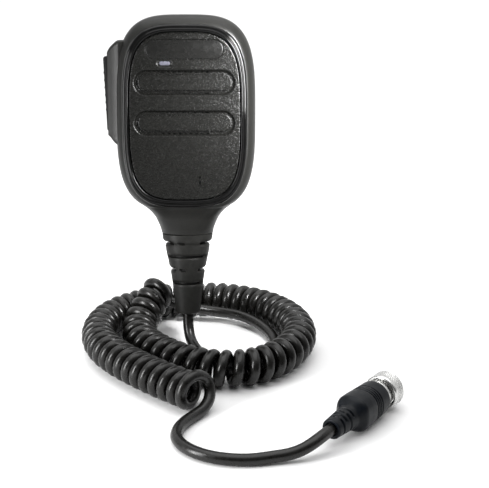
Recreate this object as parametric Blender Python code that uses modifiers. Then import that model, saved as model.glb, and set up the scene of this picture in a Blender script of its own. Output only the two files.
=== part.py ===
"""Hand microphone on its magnetic holder, with a curly cord and a screw-lock plug.

The microphone has its front towards -Y, its push-to-talk button on -X and its long axis
up, leaning back by PANEL_LEAN as it does on a sloping dashboard. The origin is the centre
of the holder's rear face, which is what is fastened. The cord lies on a table below.
Lengths in the constants and in the functions' arguments are in millimetres.
"""

import math

import bmesh
import bpy
from mathutils import Matrix, Vector

MM = 0.001
GAP = 0.3                     # clearance between neighbouring solids
PANEL_LEAN = 10.0             # degrees the microphone leans back
PAD_Z = 3.0                   # height of the rear pad's centre in the microphone's own frame

# Outline of the case: a superellipse in X and Z, one (y, half width, half height, centre z)
# for each depth. y = 0 is the surface that the holder is stuck to.
SQUARENESS = 3.5
OUTLINE_POINTS = 40
WALL = 2.0
FLOOR = 3.6                   # thickness of the rear shell under its platform
SEAM_Y = -32.0
RIM = (33.3, 46.7, 1.1)       # half width, half height and centre z at the seam
FRONT_SECTIONS = [
    (-42.6, 28.9, 42.9, -0.1),
    (-41.4, 30.8, 44.6, 0.2),
    (-38.8, 32.5, 46.0, 0.8),
    (-35.5, 33.3, 46.7, 1.1),
    (SEAM_Y - GAP / 2, *RIM),
]
REAR_SECTIONS = [
    (SEAM_Y + GAP / 2, *RIM),
    (-28.6, 32.8, 46.2, 1.1),
    (-24.5, 30.4, 44.2, 1.1),
    (-20.0, 26.4, 40.8, 1.0),
    (-16.4, 22.4, 37.0, 1.0),
    (-13.8, 19.9, 34.4, 1.0),
    (-12.0, 19.1, 33.5, 1.0),
    (-11.0, 18.4, 32.8, 1.0),
]
PLATFORM_Y = REAR_SECTIONS[-1][0]

# Neck below the case: (z, half width, half depth, centre y).
NECK_SECTIONS = [
    (-40.5, 24.2, 10.6, -30.2),
    (-43.5, 20.6, 11.0, -30.0),
    (-47.5, 16.6, 10.9, -29.4),
    (-52.3, 14.0, 10.5, -28.6),
    (-57.1, 12.6, 10.0, -28.0),
]
NECK_BORE_R = 6.6
NECK_BORE_TOP = -36.0

# Strain relief boot: (z, half width, half depth).
BOOT_Y = -28.0
BOOT_SECTIONS = [
    (-57.1 - GAP, 12.5, 9.9),
    (-61.0, 12.0, 9.7),
    (-62.6, 11.1, 9.2),
    (-66.0, 10.6, 9.0),
    (-76.0, 8.6, 8.2),
    (-86.0, 7.1, 7.1),
    (-97.4, 6.1, 6.1),
]
BOOT_SLOT_LEVELS = [-61.8, -68.4, -75.0, -81.8]
BOOT_SLOT = 1.3

# Front panel and what sits in it.
PANEL_Y = -45.0
PANEL_BACK_Y = -43.1
PANEL = (26.1, 39.1, -0.1)    # half width, half height, centre z
SLOT_Z = [15.9, -3.0]
SLOT_OUTER = (23.7, 6.0)      # half length, half height of a sound slot
SLOT_INNER = (21.1, 3.4)
SLOT_DEPTH = 1.3
NAME_PLATE = (18.1, 4.2, 31.2)
LED = (-9.25, 24.8)
LED_SIZE = (2.6, 0.95)
MIC_PORT = (7.0, -30.2)

# Loudspeaker, behind both sound slots.
SPEAKER_Z = 6.5
SPEAKER_R = 15.0
SPEAKER_Y = -39.6

# Circuit board, clamped between the front posts and the rear bosses by four screws.
BOARD_Y = -28.9
BOARD_THICKNESS = 1.6
SCREW_X = 14.8
SCREW_Z = [18.0, -13.0]
SCREW_R = 1.3
SCREW_TIP_Y = -38.5
SCREW_HEAD_Y = (-15.0, -13.6)
COUNTERBORE_Y = -15.3

# Push-to-talk button on the left side.
PTT_HOUSING_Y = (-38.4, -23.4)
PTT_BUTTON_Y = (-35.6, -26.2)
PTT_PIVOT = (-35.6, -5.4)     # x, z of the hinge line, which runs along Y
PTT_HOUSING_OUTLINE = [
    (-25.5, 35.8), (-31.0, 35.8), (-32.6, 34.8), (-36.4, 31.8), (-37.3, 30.2),
    (-36.9, -8.0), (-36.2, -10.0), (-33.6, -13.6), (-32.4, -14.0), (-25.5, -14.0),
]
PTT_BUTTON_OUTLINE = [
    (-34.4, 28.4), (-38.6, 28.4), (-39.3, 27.4), (-38.9, 18.0),
    (-37.9, -6.4), (-37.3, -7.5), (-34.4, -7.5),
]

# Rear steel plate and label.
PLATE = (17.9, -17.5, 21.0, 23.5)   # half width, bottom, top at the sides, top in the middle
PLATE_Y = (-12.0, -10.8)
LABEL = (5.6, 4.6, -23.6)

# Magnetic holder, behind the plate.
HOLDER_BODY_Y = (-8.2, -1.3)
HOLDER_FACE_Y = (-10.5, -8.5)
HOLDER_SIZE = (21.5, 20.5)
HOLDER_FACE = (16.5, 15.5)
MAGNET_R = 10.0

# Cord, plug and the table they lie on, in the frame of the whole object.
TABLE_Z = -112.0
CORD_D = 5.2
COIL_D = 17.6
CORD_STUB = 2.6               # straight stretch where the cord meets the boot and the coil
PLUG_STUB = 4.0
LEAD_ROUTE = [
    (0.2, -47.0, 10.8), (1.0, -49.6, 7.0), (2.9, -53.6, 4.0), (6.0, -58.8, 2.6), (10.8, -64.4, 2.6),
    (17.4, -69.2, 2.6), (25.0, -70.8, 2.6), (32.4, -68.2, 2.6), (38.4, -62.2, 2.6), (42.0, -54.4, 2.6),
    (43.0, -46.6, 2.8), (41.4, -39.2, 3.5), (37.6, -32.4, 4.6), (32.2, -26.2, 5.6), (24.6, -20.8, 6.4),
    (15.0, -18.0, 7.0), (5.0, -17.9, 8.4), (-4.0, -18.9, 11.0),
]
COIL_ROUTE = [
    (-15.4, -22.5, 21.5), (-18.4, -28.8, 19.0), (-21.8, -36.8, 14.8), (-24.2, -47.2, 10.4),
    (-21.6, -59.5, 9.0), (-14.6, -70.6, 8.9), (-5.8, -79.8, 8.9), (4.0, -87.0, 8.9), (14.0, -90.9, 8.9),
    (24.4, -91.3, 8.9), (34.4, -87.7, 8.9), (43.2, -80.4, 8.9), (50.0, -70.4, 8.9), (54.2, -58.5, 8.9),
    (54.8, -46.2, 8.9), (52.0, -34.2, 8.9), (46.0, -23.2, 8.9), (37.0, -13.8, 8.9), (26.0, -7.4, 8.9),
    (14.0, -3.9, 8.9), (2.0, -3.4, 8.9), (-10.0, -5.2, 8.9), (-20.4, -9.6, 8.9), (-29.6, -16.2, 8.9),
    (-37.4, -24.6, 8.9), (-42.4, -35.0, 8.9), (-44.2, -46.4, 8.9), (-42.8, -58.0, 8.9),
    (-38.6, -69.0, 8.9), (-32.0, -79.2, 8.9), (-24.0, -88.6, 8.9), (-14.4, -98.4, 8.9),
    (-4.4, -107.4, 8.9), (6.2, -116.4, 8.9),
]
TAIL_ROUTE = [
    (11.4, -118.0, 4.1), (9.6, -121.2, 3.0), (6.4, -125.4, 2.6), (3.0, -130.8, 2.6), (0.2, -137.4, 2.6),
    (-0.2, -145.4, 2.6), (3.6, -153.2, 2.6), (10.6, -159.2, 2.6), (19.6, -162.8, 2.6), (30.4, -163.6, 2.6),
    (42.4, -161.6, 3.2), (53.4, -157.6, 5.2),
]
PLUG_START = (63.8, -148.9, 8.2)
PLUG_HEADING = 54.0           # degrees from +X towards +Y
PLUG_LENGTH = 52.0

BLACK = (0.022, 0.022, 0.021)


def clear_scene():
    for obj in list(bpy.data.objects):
        bpy.data.objects.remove(obj, do_unlink=True)


def new_collection(name):
    collection = bpy.data.collections.new(name)
    bpy.context.scene.collection.children.link(collection)
    return collection


def metres(points):
    return [Vector(point) * MM for point in points]


def material(name, colour, roughness, metallic=0.0):
    """A Principled material, made once for each name."""
    existing = bpy.data.materials.get(name)
    if existing:
        return existing
    mat = bpy.data.materials.new(name)
    mat.use_nodes = True
    shader = mat.node_tree.nodes["Principled BSDF"]
    shader.inputs["Base Color"].default_value = (*colour, 1.0)
    shader.inputs["Roughness"].default_value = roughness
    shader.inputs["Metallic"].default_value = metallic
    return mat


class Workshop:
    """Makes objects in one frame and puts them in the right collection."""

    def __init__(self, parts, cutters, parent=None):
        self.parts = parts
        self.cutters = cutters
        self.parent = parent

    def add(self, name, mesh, mat=None):
        """A part if it has a material, else a cutter."""
        obj = bpy.data.objects.new(name, mesh)
        obj.parent = self.parent
        if mat is None:
            self.cutters.objects.link(obj)
            obj.hide_render = True
            obj.display_type = "WIRE"
        else:
            mesh.materials.append(mat)
            self.parts.objects.link(obj)
        return obj

    def solid(self, name, bm, mat=None):
        """An object from a bmesh in millimetres."""
        bmesh.ops.recalc_face_normals(bm, faces=bm.faces)
        bmesh.ops.scale(bm, vec=(MM, MM, MM), verts=bm.verts)
        mesh = bpy.data.meshes.new(name)
        bm.to_mesh(mesh)
        bm.free()
        return self.add(name, mesh, mat)

    def box(self, name, low, high, mat=None):
        bm = bmesh.new()
        add_box(bm, low, high)
        return self.solid(name, bm, mat)

    def cylinder(self, name, radius, start, end, mat=None, sides=24):
        bm = bmesh.new()
        add_cylinder(bm, radius, start, end, sides)
        return self.solid(name, bm, mat)

    def turned(self, name, profile, start, end, mat=None, steps=28):
        """A profile of (radius, distance along the axis) turned with a Screw modifier.

        The profile is closed and runs down its outer side, from far to near.
        """
        start = Vector(start) * MM
        axis = (Vector(end) * MM - start).normalized()
        mesh = bpy.data.meshes.new(name)
        verts = [(radius * MM, 0.0, along * MM) for radius, along in profile]
        edges = [(i, i + 1) for i in range(len(verts) - 1)]
        if profile[0][0] > 0 and profile[-1][0] > 0:
            edges.append((len(verts) - 1, 0))
        mesh.from_pydata(verts, edges, [])
        obj = self.add(name, mesh, mat)
        obj.matrix_local = Matrix.Translation(start) @ axis.to_track_quat("Z", "Y").to_matrix().to_4x4()
        screw = obj.modifiers.new("turn", "SCREW")
        screw.steps = steps
        screw.render_steps = steps
        screw.use_merge_vertices = True
        screw.merge_threshold = 0.00001
        screw.use_smooth_shade = True
        return obj

    def tube(self, name, points, radius, mat, sides_resolution):
        curve = bpy.data.curves.new(name, "CURVE")
        curve.dimensions = "3D"
        curve.bevel_depth = radius * MM
        curve.bevel_resolution = sides_resolution
        curve.use_fill_caps = True
        spline = curve.splines.new("POLY")
        spline.points.add(len(points) - 1)
        for point, place in zip(spline.points, metres(points)):
            point.co = (*place, 1.0)
        obj = self.add(name, curve, mat)
        return obj


def add_box(bm, low, high):
    low = Vector(low)
    high = Vector(high)
    size = high - low
    place = Matrix.Translation((low + high) / 2) @ Matrix.Diagonal((*size, 1.0))
    bmesh.ops.create_cube(bm, size=1.0, matrix=place)


def add_cylinder(bm, radius, start, end, sides=24):
    start = Vector(start)
    end = Vector(end)
    axis = end - start
    turn = axis.to_track_quat("Z", "Y").to_matrix().to_4x4()
    bmesh.ops.create_cone(
        bm, cap_ends=True, segments=sides, radius1=radius, radius2=radius,
        depth=axis.length, matrix=Matrix.Translation((start + end) / 2) @ turn)


def superellipse(half_width, half_height, centre=0.0, squareness=SQUARENESS, count=OUTLINE_POINTS):
    """Points (x, z) of a superellipse, anticlockwise from +X."""
    power = 2.0 / squareness
    points = []
    for i in range(count):
        angle = 2 * math.pi * i / count
        cos = math.cos(angle)
        sin = math.sin(angle)
        x = half_width * math.copysign(abs(cos) ** power, cos)
        z = half_height * math.copysign(abs(sin) ** power, sin)
        points.append((x, centre + z))
    return points


def pill(half_length, half_height, x=0.0, z=0.0, steps=8):
    """Points (x, z) of a slot with round ends."""
    points = []
    for side, first in ((1, -90), (-1, 90)):
        for i in range(steps + 1):
            angle = math.radians(first + 180 * i / steps)
            points.append((x + side * (half_length - half_height) + half_height * math.cos(angle),
                           z + half_height * math.sin(angle)))
    return points


def rounded_rectangle(half_width, half_height, radius, steps=4):
    points = []
    for corner, (sx, sz) in enumerate(((1, 1), (-1, 1), (-1, -1), (1, -1))):
        for i in range(steps + 1):
            angle = math.radians(90 * corner + 90 * i / steps)
            points.append((sx * (half_width - radius) + radius * math.cos(angle),
                           sz * (half_height - radius) + radius * math.sin(angle)))
    return points


def rings_to_bmesh(rings, cap_first=True, cap_last=True, closed=False):
    """Skin a row of rings that all have the same number of points."""
    bm = bmesh.new()
    loops = [[bm.verts.new(point) for point in ring] for ring in rings]
    count = len(loops[0])
    pairs = list(zip(loops, loops[1:]))
    if closed:
        pairs.append((loops[-1], loops[0]))
    for first, second in pairs:
        for i in range(count):
            j = (i + 1) % count
            bm.faces.new((first[i], first[j], second[j], second[i]))
    if cap_first and not closed:
        bm.faces.new(list(reversed(loops[0])))
    if cap_last and not closed:
        bm.faces.new(loops[-1])
    return bm


def depth_ring(outline, y):
    return [(x, y, z) for x, z in outline]


def plate_bmesh(outline, y_front, y_back):
    """A flat piece of the given (x, z) outline."""
    return rings_to_bmesh([depth_ring(outline, y_front), depth_ring(outline, y_back)])


def side_bmesh(outline, y_low, y_high):
    return plate_bmesh(outline, y_low, y_high)


def case_rings(sections, grow=0.0):
    return [depth_ring(superellipse(a + grow, b + grow, cz), y) for y, a, b, cz in sections]


def cup_bmesh(sections, closed_y):
    """A cup with walls of thickness WALL: sections run from its rim, and its floor is at closed_y."""
    outside = case_rings(sections)
    toward_floor = sections[-1][0] - sections[0][0]
    inside_sections = [section for section in sections if (closed_y - section[0]) * toward_floor > 0]
    last = inside_sections[-1]
    inside_sections.append((closed_y, last[1] - 0.4, last[2] - 0.4, last[3]))
    inside = case_rings(inside_sections, -WALL)
    return rings_to_bmesh(list(reversed(inside)) + outside)


def ellipse_ring(z, half_width, half_depth, y, count=28):
    ring = []
    for i in range(count):
        angle = 2 * math.pi * i / count
        ring.append((half_width * math.cos(angle), y + half_depth * math.sin(angle), z))
    return ring


def boolean(target, other, operation):
    modifier = target.modifiers.new(other.name, "BOOLEAN")
    modifier.object = other
    modifier.operation = operation
    modifier.solver = "EXACT"


def cut(target, *cutters):
    for cutter in cutters:
        boolean(target, cutter, "DIFFERENCE")


def join(target, *others):
    for other in others:
        boolean(target, other, "UNION")


def bevel(obj, width, segments=2, angle=40.0):
    modifier = obj.modifiers.new("bevel", "BEVEL")
    modifier.width = width * MM
    modifier.segments = segments
    modifier.limit_method = "ANGLE"
    modifier.angle_limit = math.radians(angle)


def smooth(obj, angle=40.0):
    obj.data.shade_smooth()
    obj.data.set_sharp_from_angle(angle=math.radians(angle))


def smooth_curve(points, spacing, before=None, after=None):
    """Points at even spacing along a Catmull-Rom curve through the route's points."""
    route = [Vector(point) for point in points]
    route.insert(0, before or route[0] * 2 - route[1])
    route.append(after or route[-1] * 2 - route[-2])
    fine = []
    for a, b, c, d in zip(route, route[1:], route[2:], route[3:]):
        for step in range(12):
            t = step / 12
            fine.append(0.5 * (2 * b + (c - a) * t + (2 * a - 5 * b + 4 * c - d) * t ** 2
                               + (3 * b - a - 3 * c + d) * t ** 3))
    fine.append(route[-2])
    lengths = [0.0]
    for a, b in zip(fine, fine[1:]):
        lengths.append(lengths[-1] + (b - a).length)
    count = max(2, round(lengths[-1] / spacing))
    even = []
    index = 0
    for step in range(count + 1):
        wanted = lengths[-1] * step / count
        while index < len(fine) - 2 and lengths[index + 1] < wanted:
            index += 1
        span = lengths[index + 1] - lengths[index]
        even.append(fine[index].lerp(fine[index + 1], (wanted - lengths[index]) / span))
    return even


def stubbed_curve(points, spacing):
    """A smooth curve whose first and last stretches stay straight, so that its ends are square."""
    middle = smooth_curve(points[1:-1], spacing, points[0], points[-1])
    return [points[0]] + middle + [points[-1]]


def microphone_frame():
    """An empty whose children are in the microphone's own upright frame."""
    frame = bpy.data.objects.new("microphone_frame", None)
    bpy.context.scene.collection.objects.link(frame)
    lean = Matrix.Rotation(math.radians(-PANEL_LEAN), 4, "X")
    frame.matrix_world = lean @ Matrix.Translation((0.0, 0.0, -PAD_Z * MM))
    return frame


def screw_places():
    return [(sx * SCREW_X, z) for z in SCREW_Z for sx in (-1, 1)]


def ptt_opening(shop, name):
    low_y, high_y = PTT_HOUSING_Y
    return shop.box(name, (-42.0, low_y - GAP, -14.0 - GAP), (-24.0, high_y + GAP, 35.8 + GAP))


def make_front_case(shop):
    """Front half of the case, with its posts and its sound, light and button openings."""
    plastic = material("case_black", BLACK, 0.55)
    web_y = FRONT_SECTIONS[0][0] + WALL
    case = shop.solid("front_case", cup_bmesh(list(reversed(FRONT_SECTIONS)), web_y), plastic)
    smooth(case)
    post_start = FRONT_SECTIONS[0][0] + WALL / 2
    post_end = BOARD_Y - BOARD_THICKNESS / 2 - GAP
    posts = bmesh.new()
    holes = bmesh.new()
    for x, z in screw_places():
        add_cylinder(posts, 2.5, (x, post_start, z), (x, post_end, z), 16)
        add_cylinder(holes, SCREW_R + GAP, (x, post_start + WALL, z), (x, post_end + 1, z), 16)
    openings = bmesh.new()
    web = (FRONT_SECTIONS[0][0] - 1, FRONT_SECTIONS[0][0] + WALL + 1)
    add_cylinder(openings, SPEAKER_R - 2.0, (0, web[0], SPEAKER_Z), (0, web[1], SPEAKER_Z), 28)
    add_cylinder(openings, 1.2, (MIC_PORT[0], web[0], MIC_PORT[1]), (MIC_PORT[0], web[1], MIC_PORT[1]), 12)
    light = side_bmesh(pill(LED_SIZE[0] + GAP, LED_SIZE[1] + GAP, *LED), *web)
    join(case, shop.solid("front_posts", posts))
    cut(case, shop.solid("front_post_holes", holes), shop.solid("front_openings", openings))
    cut(case, shop.solid("light_opening", light), ptt_opening(shop, "front_ptt_opening"))
    return case


def make_gloss_bezel(shop):
    """Glossy bead round the front panel."""
    half_width, half_height, centre = PANEL
    profile = [
        (-42.9, 0.4, 0.4), (-45.2, 0.4, 0.4), (-45.9, 0.9, 1.0), (-45.8, 2.0, 2.1),
        (-45.0, 2.9, 3.2), (-43.8, 3.3, 3.8), (-42.9, 3.1, 3.6),
    ]
    rings = []
    for y, wider, taller in profile:
        rings.append(depth_ring(superellipse(half_width + wider, half_height + taller, centre), y))
    gloss = material("gloss_black", (0.012, 0.012, 0.012), 0.12)
    bezel = shop.solid("gloss_bezel", rings_to_bmesh(rings, closed=True), gloss)
    smooth(bezel, 60.0)
    return bezel


def make_front_panel(shop):
    """Panel with two sound slots, each a groove round a raised pill, and its small openings."""
    half_width, half_height, centre = PANEL
    grain = material("panel_black", (0.030, 0.030, 0.028), 0.45)
    outline = superellipse(half_width, half_height, centre)
    panel = shop.solid("front_panel", plate_bmesh(outline, PANEL_Y, PANEL_BACK_Y), grain)
    front = PANEL_Y - 1
    floor = PANEL_Y + SLOT_DEPTH
    for number, z in enumerate(SLOT_Z):
        outer = pill(*SLOT_OUTER, z=z)
        inner = pill(*SLOT_INNER, z=z)
        rings = [depth_ring(outer, front), depth_ring(outer, floor),
                 depth_ring(inner, floor), depth_ring(inner, front)]
        cut(panel, shop.solid(f"slot_groove_{number}", rings_to_bmesh(rings, closed=True)))
    vents = bmesh.new()
    middle = (SLOT_OUTER[1] + SLOT_INNER[1]) / 2
    for z in SLOT_Z:
        for side in (-1, 1):
            add_box(vents, (-12.0, PANEL_Y, z + side * middle - 0.45),
                    (12.0, PANEL_BACK_Y + 1, z + side * middle + 0.45))
    add_box(vents, (MIC_PORT[0] - 0.35, front, MIC_PORT[1] - 2.2),
            (MIC_PORT[0] + 0.35, PANEL_BACK_Y + 1, MIC_PORT[1] + 2.2))
    plate_length, plate_height, plate_z = NAME_PLATE
    recess = plate_bmesh(pill(plate_length + GAP, plate_height + GAP, z=plate_z), front, PANEL_Y + 0.8)
    pocket = plate_bmesh(pill(3.7, 1.9, *LED), front, PANEL_Y + 0.5)
    light = plate_bmesh(pill(LED_SIZE[0] + GAP, LED_SIZE[1] + GAP, *LED), front, PANEL_BACK_Y + 1)
    cut(panel, shop.solid("panel_vents", vents), shop.solid("name_recess", recess))
    cut(panel, shop.solid("light_pocket", pocket), shop.solid("light_hole", light))
    return panel


def make_panel_fittings(shop):
    """Name plate, light pipe and the light behind it."""
    plate_length, plate_height, plate_z = NAME_PLATE
    satin = material("plate_black", (0.020, 0.020, 0.020), 0.30)
    plate = plate_bmesh(pill(plate_length, plate_height, z=plate_z), PANEL_Y, PANEL_Y + 0.5)
    shop.solid("name_plate", plate, satin)
    lens = material("light_lens", (0.55, 0.56, 0.62), 0.25)
    board_front = BOARD_Y - BOARD_THICKNESS / 2
    pipe = plate_bmesh(pill(*LED_SIZE, *LED), PANEL_Y + 0.2, board_front - 1.6)
    shop.solid("led_light_pipe", pipe, lens)
    chip = material("light_chip", (0.75, 0.75, 0.70), 0.40)
    shop.box("status_led", (LED[0] - 1.5, board_front - 1.3, LED[1] - 0.8),
             (LED[0] + 1.5, board_front - GAP, LED[1] + 0.8), chip)


def make_loudspeaker(shop):
    """Membrane, frame, cone and magnet, one behind the other on one axis."""
    front = (0, SPEAKER_Y, SPEAKER_Z)
    back = (0, SPEAKER_Y + 10, SPEAKER_Z)
    cloth = material("speaker_cloth", (0.02, 0.02, 0.02), 0.90)
    shop.cylinder("speaker_membrane", 14.4, (0, SPEAKER_Y - 0.7, SPEAKER_Z),
                  (0, SPEAKER_Y - GAP, SPEAKER_Z), cloth, 28)
    steel = material("speaker_steel", (0.45, 0.45, 0.46), 0.35, 1.0)
    frame = [(10.0, 5.2), (10.0, 5.0), (15.0, 1.2), (15.0, 0.0), (13.2, 0.0), (13.2, 1.2), (8.6, 4.2),
             (3.0, 4.2), (3.0, 5.2)]
    shop.turned("speaker_frame", frame, front, back, steel)
    paper = material("speaker_cone_paper", (0.05, 0.05, 0.05), 0.80)
    cone = [(0.0, 3.6), (3.4, 3.6), (8.2, 3.3), (12.9, 0.9), (12.9, 0.5), (8.0, 2.7), (3.0, 3.0), (0.0, 2.2)]
    shop.turned("speaker_cone", cone, front, back, paper)
    magnet = [(0.0, 8.3), (9.0, 8.3), (9.0, 5.5), (0.0, 5.5)]
    shop.turned("speaker_magnet", magnet, front, back, steel)


def make_electret(shop):
    """Microphone capsule in its rubber boot, behind the port."""
    x, z = MIC_PORT
    front = (x, -40.3, z)
    back = (x, -30.0, z)
    rubber = material("soft_rubber", (0.03, 0.03, 0.03), 0.75)
    boot = [(4.6, 5.6), (4.6, 0.0), (0.8, 0.0), (0.8, 0.8), (3.3, 0.8), (3.3, 5.6)]
    shop.turned("mic_boot", boot, front, back, rubber, 20)
    can = material("capsule_can", (0.62, 0.62, 0.60), 0.30, 1.0)
    shop.cylinder("mic_capsule", 3.0, (x, -39.2, z), (x, -35.6, z), can, 20)


def make_circuit_board(shop):
    board_green = material("board_green", (0.02, 0.16, 0.07), 0.40)
    front = BOARD_Y - BOARD_THICKNESS / 2
    back = BOARD_Y + BOARD_THICKNESS / 2
    outline = rounded_rectangle(23.0, 34.0, 6.0)
    board = shop.solid("circuit_board", plate_bmesh(outline, front, back), board_green)
    holes = bmesh.new()
    for x, z in screw_places():
        add_cylinder(holes, SCREW_R + GAP, (x, front - 1, z), (x, back + 1, z), 16)
    cut(board, shop.solid("board_holes", holes))
    nylon = material("header_nylon", (0.78, 0.76, 0.68), 0.50)
    shop.box("board_header", (-5.0, back + GAP, -32.0), (5.0, back + 4.3, -27.0), nylon)


def make_rear_shell(shop):
    """Rear half of the case, with its platform, ridge, neck and bosses."""
    plastic = material("shell_black", BLACK, 0.60)
    shell = shop.solid("rear_shell", cup_bmesh(REAR_SECTIONS, PLATFORM_Y - FLOOR), plastic)
    smooth(shell)
    neck = shop.solid("neck", rings_to_bmesh([ellipse_ring(z, w, d, y) for z, w, d, y in NECK_SECTIONS]))
    rim = REAR_SECTIONS[0]
    inside = [(SEAM_Y - 12, *rim[1:])] + REAR_SECTIONS[:-3]
    cut(neck, shop.solid("neck_clearance", rings_to_bmesh(case_rings(inside, -WALL / 2))))
    ridge_rings = []
    for y, shrink in ((-13.5, 0.0), (-10.4, 0.0), (-9.8, 0.8)):
        ridge_rings.append(depth_ring(pill(18.2 - shrink, 4.6 - shrink, z=28.6), y))
    bosses = bmesh.new()
    counterbores = bmesh.new()
    screw_holes = bmesh.new()
    boss_end = BOARD_Y + BOARD_THICKNESS / 2 + GAP
    for x, z in screw_places():
        add_cylinder(bosses, 3.4, (x, boss_end, z), (x, PLATFORM_Y - WALL / 2, z), 20)
        add_cylinder(counterbores, 2.9, (x, COUNTERBORE_Y, z), (x, PLATFORM_Y + 2, z), 20)
        add_cylinder(screw_holes, SCREW_R + GAP, (x, boss_end - 1, z), (x, COUNTERBORE_Y + 1, z), 16)
    join(shell, neck, shop.solid("ridge", rings_to_bmesh(ridge_rings)))
    join(shell, shop.solid("rear_bosses", bosses))
    ahead = (FRONT_SECTIONS[0][0] - 4, *FRONT_SECTIONS[0][1:])
    front_rings = case_rings([ahead] + FRONT_SECTIONS + [(SEAM_Y + GAP / 2, *RIM)], GAP)
    clearance = shop.solid("front_case_clearance", rings_to_bmesh(front_rings))
    bore = shop.cylinder("neck_bore", NECK_BORE_R, (0, BOOT_Y, -60), (0, BOOT_Y, NECK_BORE_TOP), sides=24)
    recess = plate_bmesh(rear_plate_outline(GAP), PLATE_Y[0] - GAP, PLATFORM_Y + 5)
    half_width, half_height, label_z = LABEL
    label = shop.box("label_recess", (-half_width - GAP, PLATFORM_Y - 0.4, label_z - half_height - GAP),
                     (half_width + GAP, PLATFORM_Y + 2, label_z + half_height + GAP))
    cut(shell, clearance, bore, shop.solid("plate_recess", recess), label)
    cut(shell, shop.solid("screw_counterbores", counterbores), shop.solid("screw_holes", screw_holes))
    cut(shell, ptt_opening(shop, "rear_ptt_opening"))
    return shell


def rear_plate_outline(grow=0.0):
    """Straight sides and bottom with an arched top."""
    half_width, bottom, top, crown = PLATE
    points = [(-half_width - grow, bottom - grow), (half_width + grow, bottom - grow)]
    steps = 10
    for i in range(steps + 1):
        share = 1 - 2 * i / steps
        points.append(((half_width + grow) * share, top + grow + (crown - top) * (1 - share ** 2)))
    return points


def make_rear_fittings(shop):
    """Steel plate that the magnet holds, label, case screws and the seal between the halves."""
    painted = material("plate_grey", (0.09, 0.09, 0.09), 0.50)
    shop.solid("rear_plate", plate_bmesh(rear_plate_outline(), *PLATE_Y), painted)
    orange = material("label_orange", (0.85, 0.32, 0.04), 0.45)
    half_width, half_height, z = LABEL
    shop.box("rear_label", (-half_width, PLATFORM_Y - 0.1, z - half_height),
             (half_width, PLATFORM_Y + 0.15, z + half_height), orange)
    zinc = material("screw_zinc", (0.55, 0.55, 0.56), 0.35, 1.0)
    for number, (x, z) in enumerate(screw_places()):
        under_head = SCREW_HEAD_Y[0] - SCREW_TIP_Y
        top = SCREW_HEAD_Y[1] - SCREW_TIP_Y
        profile = [(0.0, top), (2.6, top), (2.6, under_head), (SCREW_R, under_head),
                   (SCREW_R, 0.6), (0.9, 0.0), (0.0, 0.0)]
        tip = (x, SCREW_TIP_Y, z)
        head = (x, SCREW_HEAD_Y[1], z)
        shop.turned(f"case_screw_{number + 1}", profile, tip, head, zinc, 16)
    rings = []
    for y, inset in ((-33.2, 3.2), (-33.2, 2.3), (-30.9, 2.3), (-30.9, 3.2)):
        outline = superellipse(RIM[0] - inset, RIM[1] - inset, RIM[2])
        rings.append(depth_ring(outline, y))
    silicone = material("seal_silicone", (0.30, 0.07, 0.05), 0.60)
    seal = shop.solid("seal_ring", rings_to_bmesh(rings, closed=True), silicone)
    cut(seal, ptt_opening(shop, "seal_ptt_opening"))


def make_ptt(shop):
    """Side housing, button on its hinge line, membrane and switch."""
    plastic = material("case_black", BLACK, 0.55)
    housing = shop.solid("ptt_housing", side_bmesh(PTT_HOUSING_OUTLINE, *PTT_HOUSING_Y), plastic)
    bevel(housing, 0.9)
    low_y, high_y = PTT_BUTTON_Y
    window = shop.box("ptt_window", (-45, low_y - GAP, -7.5 - GAP), (-30, high_y + GAP, 28.4 + GAP))
    pivot_x, pivot_z = PTT_PIVOT
    pivot_hole = shop.cylinder("ptt_pivot_hole", 1.25, (pivot_x, low_y - 1.6, pivot_z),
                               (pivot_x, high_y + 1.6, pivot_z), sides=16)
    inner = (PTT_HOUSING_Y[0] + 1.6, PTT_HOUSING_Y[1] - 1.6)
    pocket = shop.box("ptt_pocket", (-28.9, inner[0], -12.0), (-20, inner[1], 28.5))
    nub_hole = shop.box("ptt_nub_hole", (-31, -33.6, 22.0), (-28, -29.4, 26.0))
    cut(housing, window, pivot_hole, pocket, nub_hole)

    rubber = material("ptt_rubber", (0.016, 0.016, 0.016), 0.50)
    hinge = bpy.data.objects.new("ptt_hinge", None)
    bpy.context.scene.collection.objects.link(hinge)
    hinge.parent = shop.parent
    hinge.location = (pivot_x * MM, 0.0, pivot_z * MM)
    outline = [(x - pivot_x, z - pivot_z) for x, z in PTT_BUTTON_OUTLINE]
    hinged = Workshop(shop.parts, shop.cutters, hinge)
    button = hinged.solid("ptt_button", side_bmesh(outline, low_y, high_y), rubber)
    bevel(button, 0.6)
    nub_z = 24.0 - pivot_z
    nub = hinged.box("ptt_nub", (0.5, -33.2, nub_z - 1.5), (-30.0 - pivot_x, -29.8, nub_z + 1.5))
    lugs = hinged.cylinder("ptt_lugs", 0.9, (0, low_y - 1.2, 0), (0, high_y + 1.2, 0), sides=12)
    join(button, nub, lugs)

    soft = material("soft_rubber", (0.03, 0.03, 0.03), 0.75)
    shop.box("ptt_membrane", (-28.3, -36.4, -11.0), (-27.7, -25.4, 27.6), soft)
    metal = material("switch_steel", (0.50, 0.50, 0.50), 0.35, 1.0)
    board_front = BOARD_Y - BOARD_THICKNESS / 2
    switch = shop.box("ptt_switch", (-26.6, board_front - 3.3, 21.0), (-20.8, board_front - GAP, 27.0), metal)
    plunger_y = board_front - 1.8
    join(switch, shop.cylinder("switch_plunger", 1.1, (-27.4, plunger_y, 24), (-25.0, plunger_y, 24), sides=12))


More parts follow.
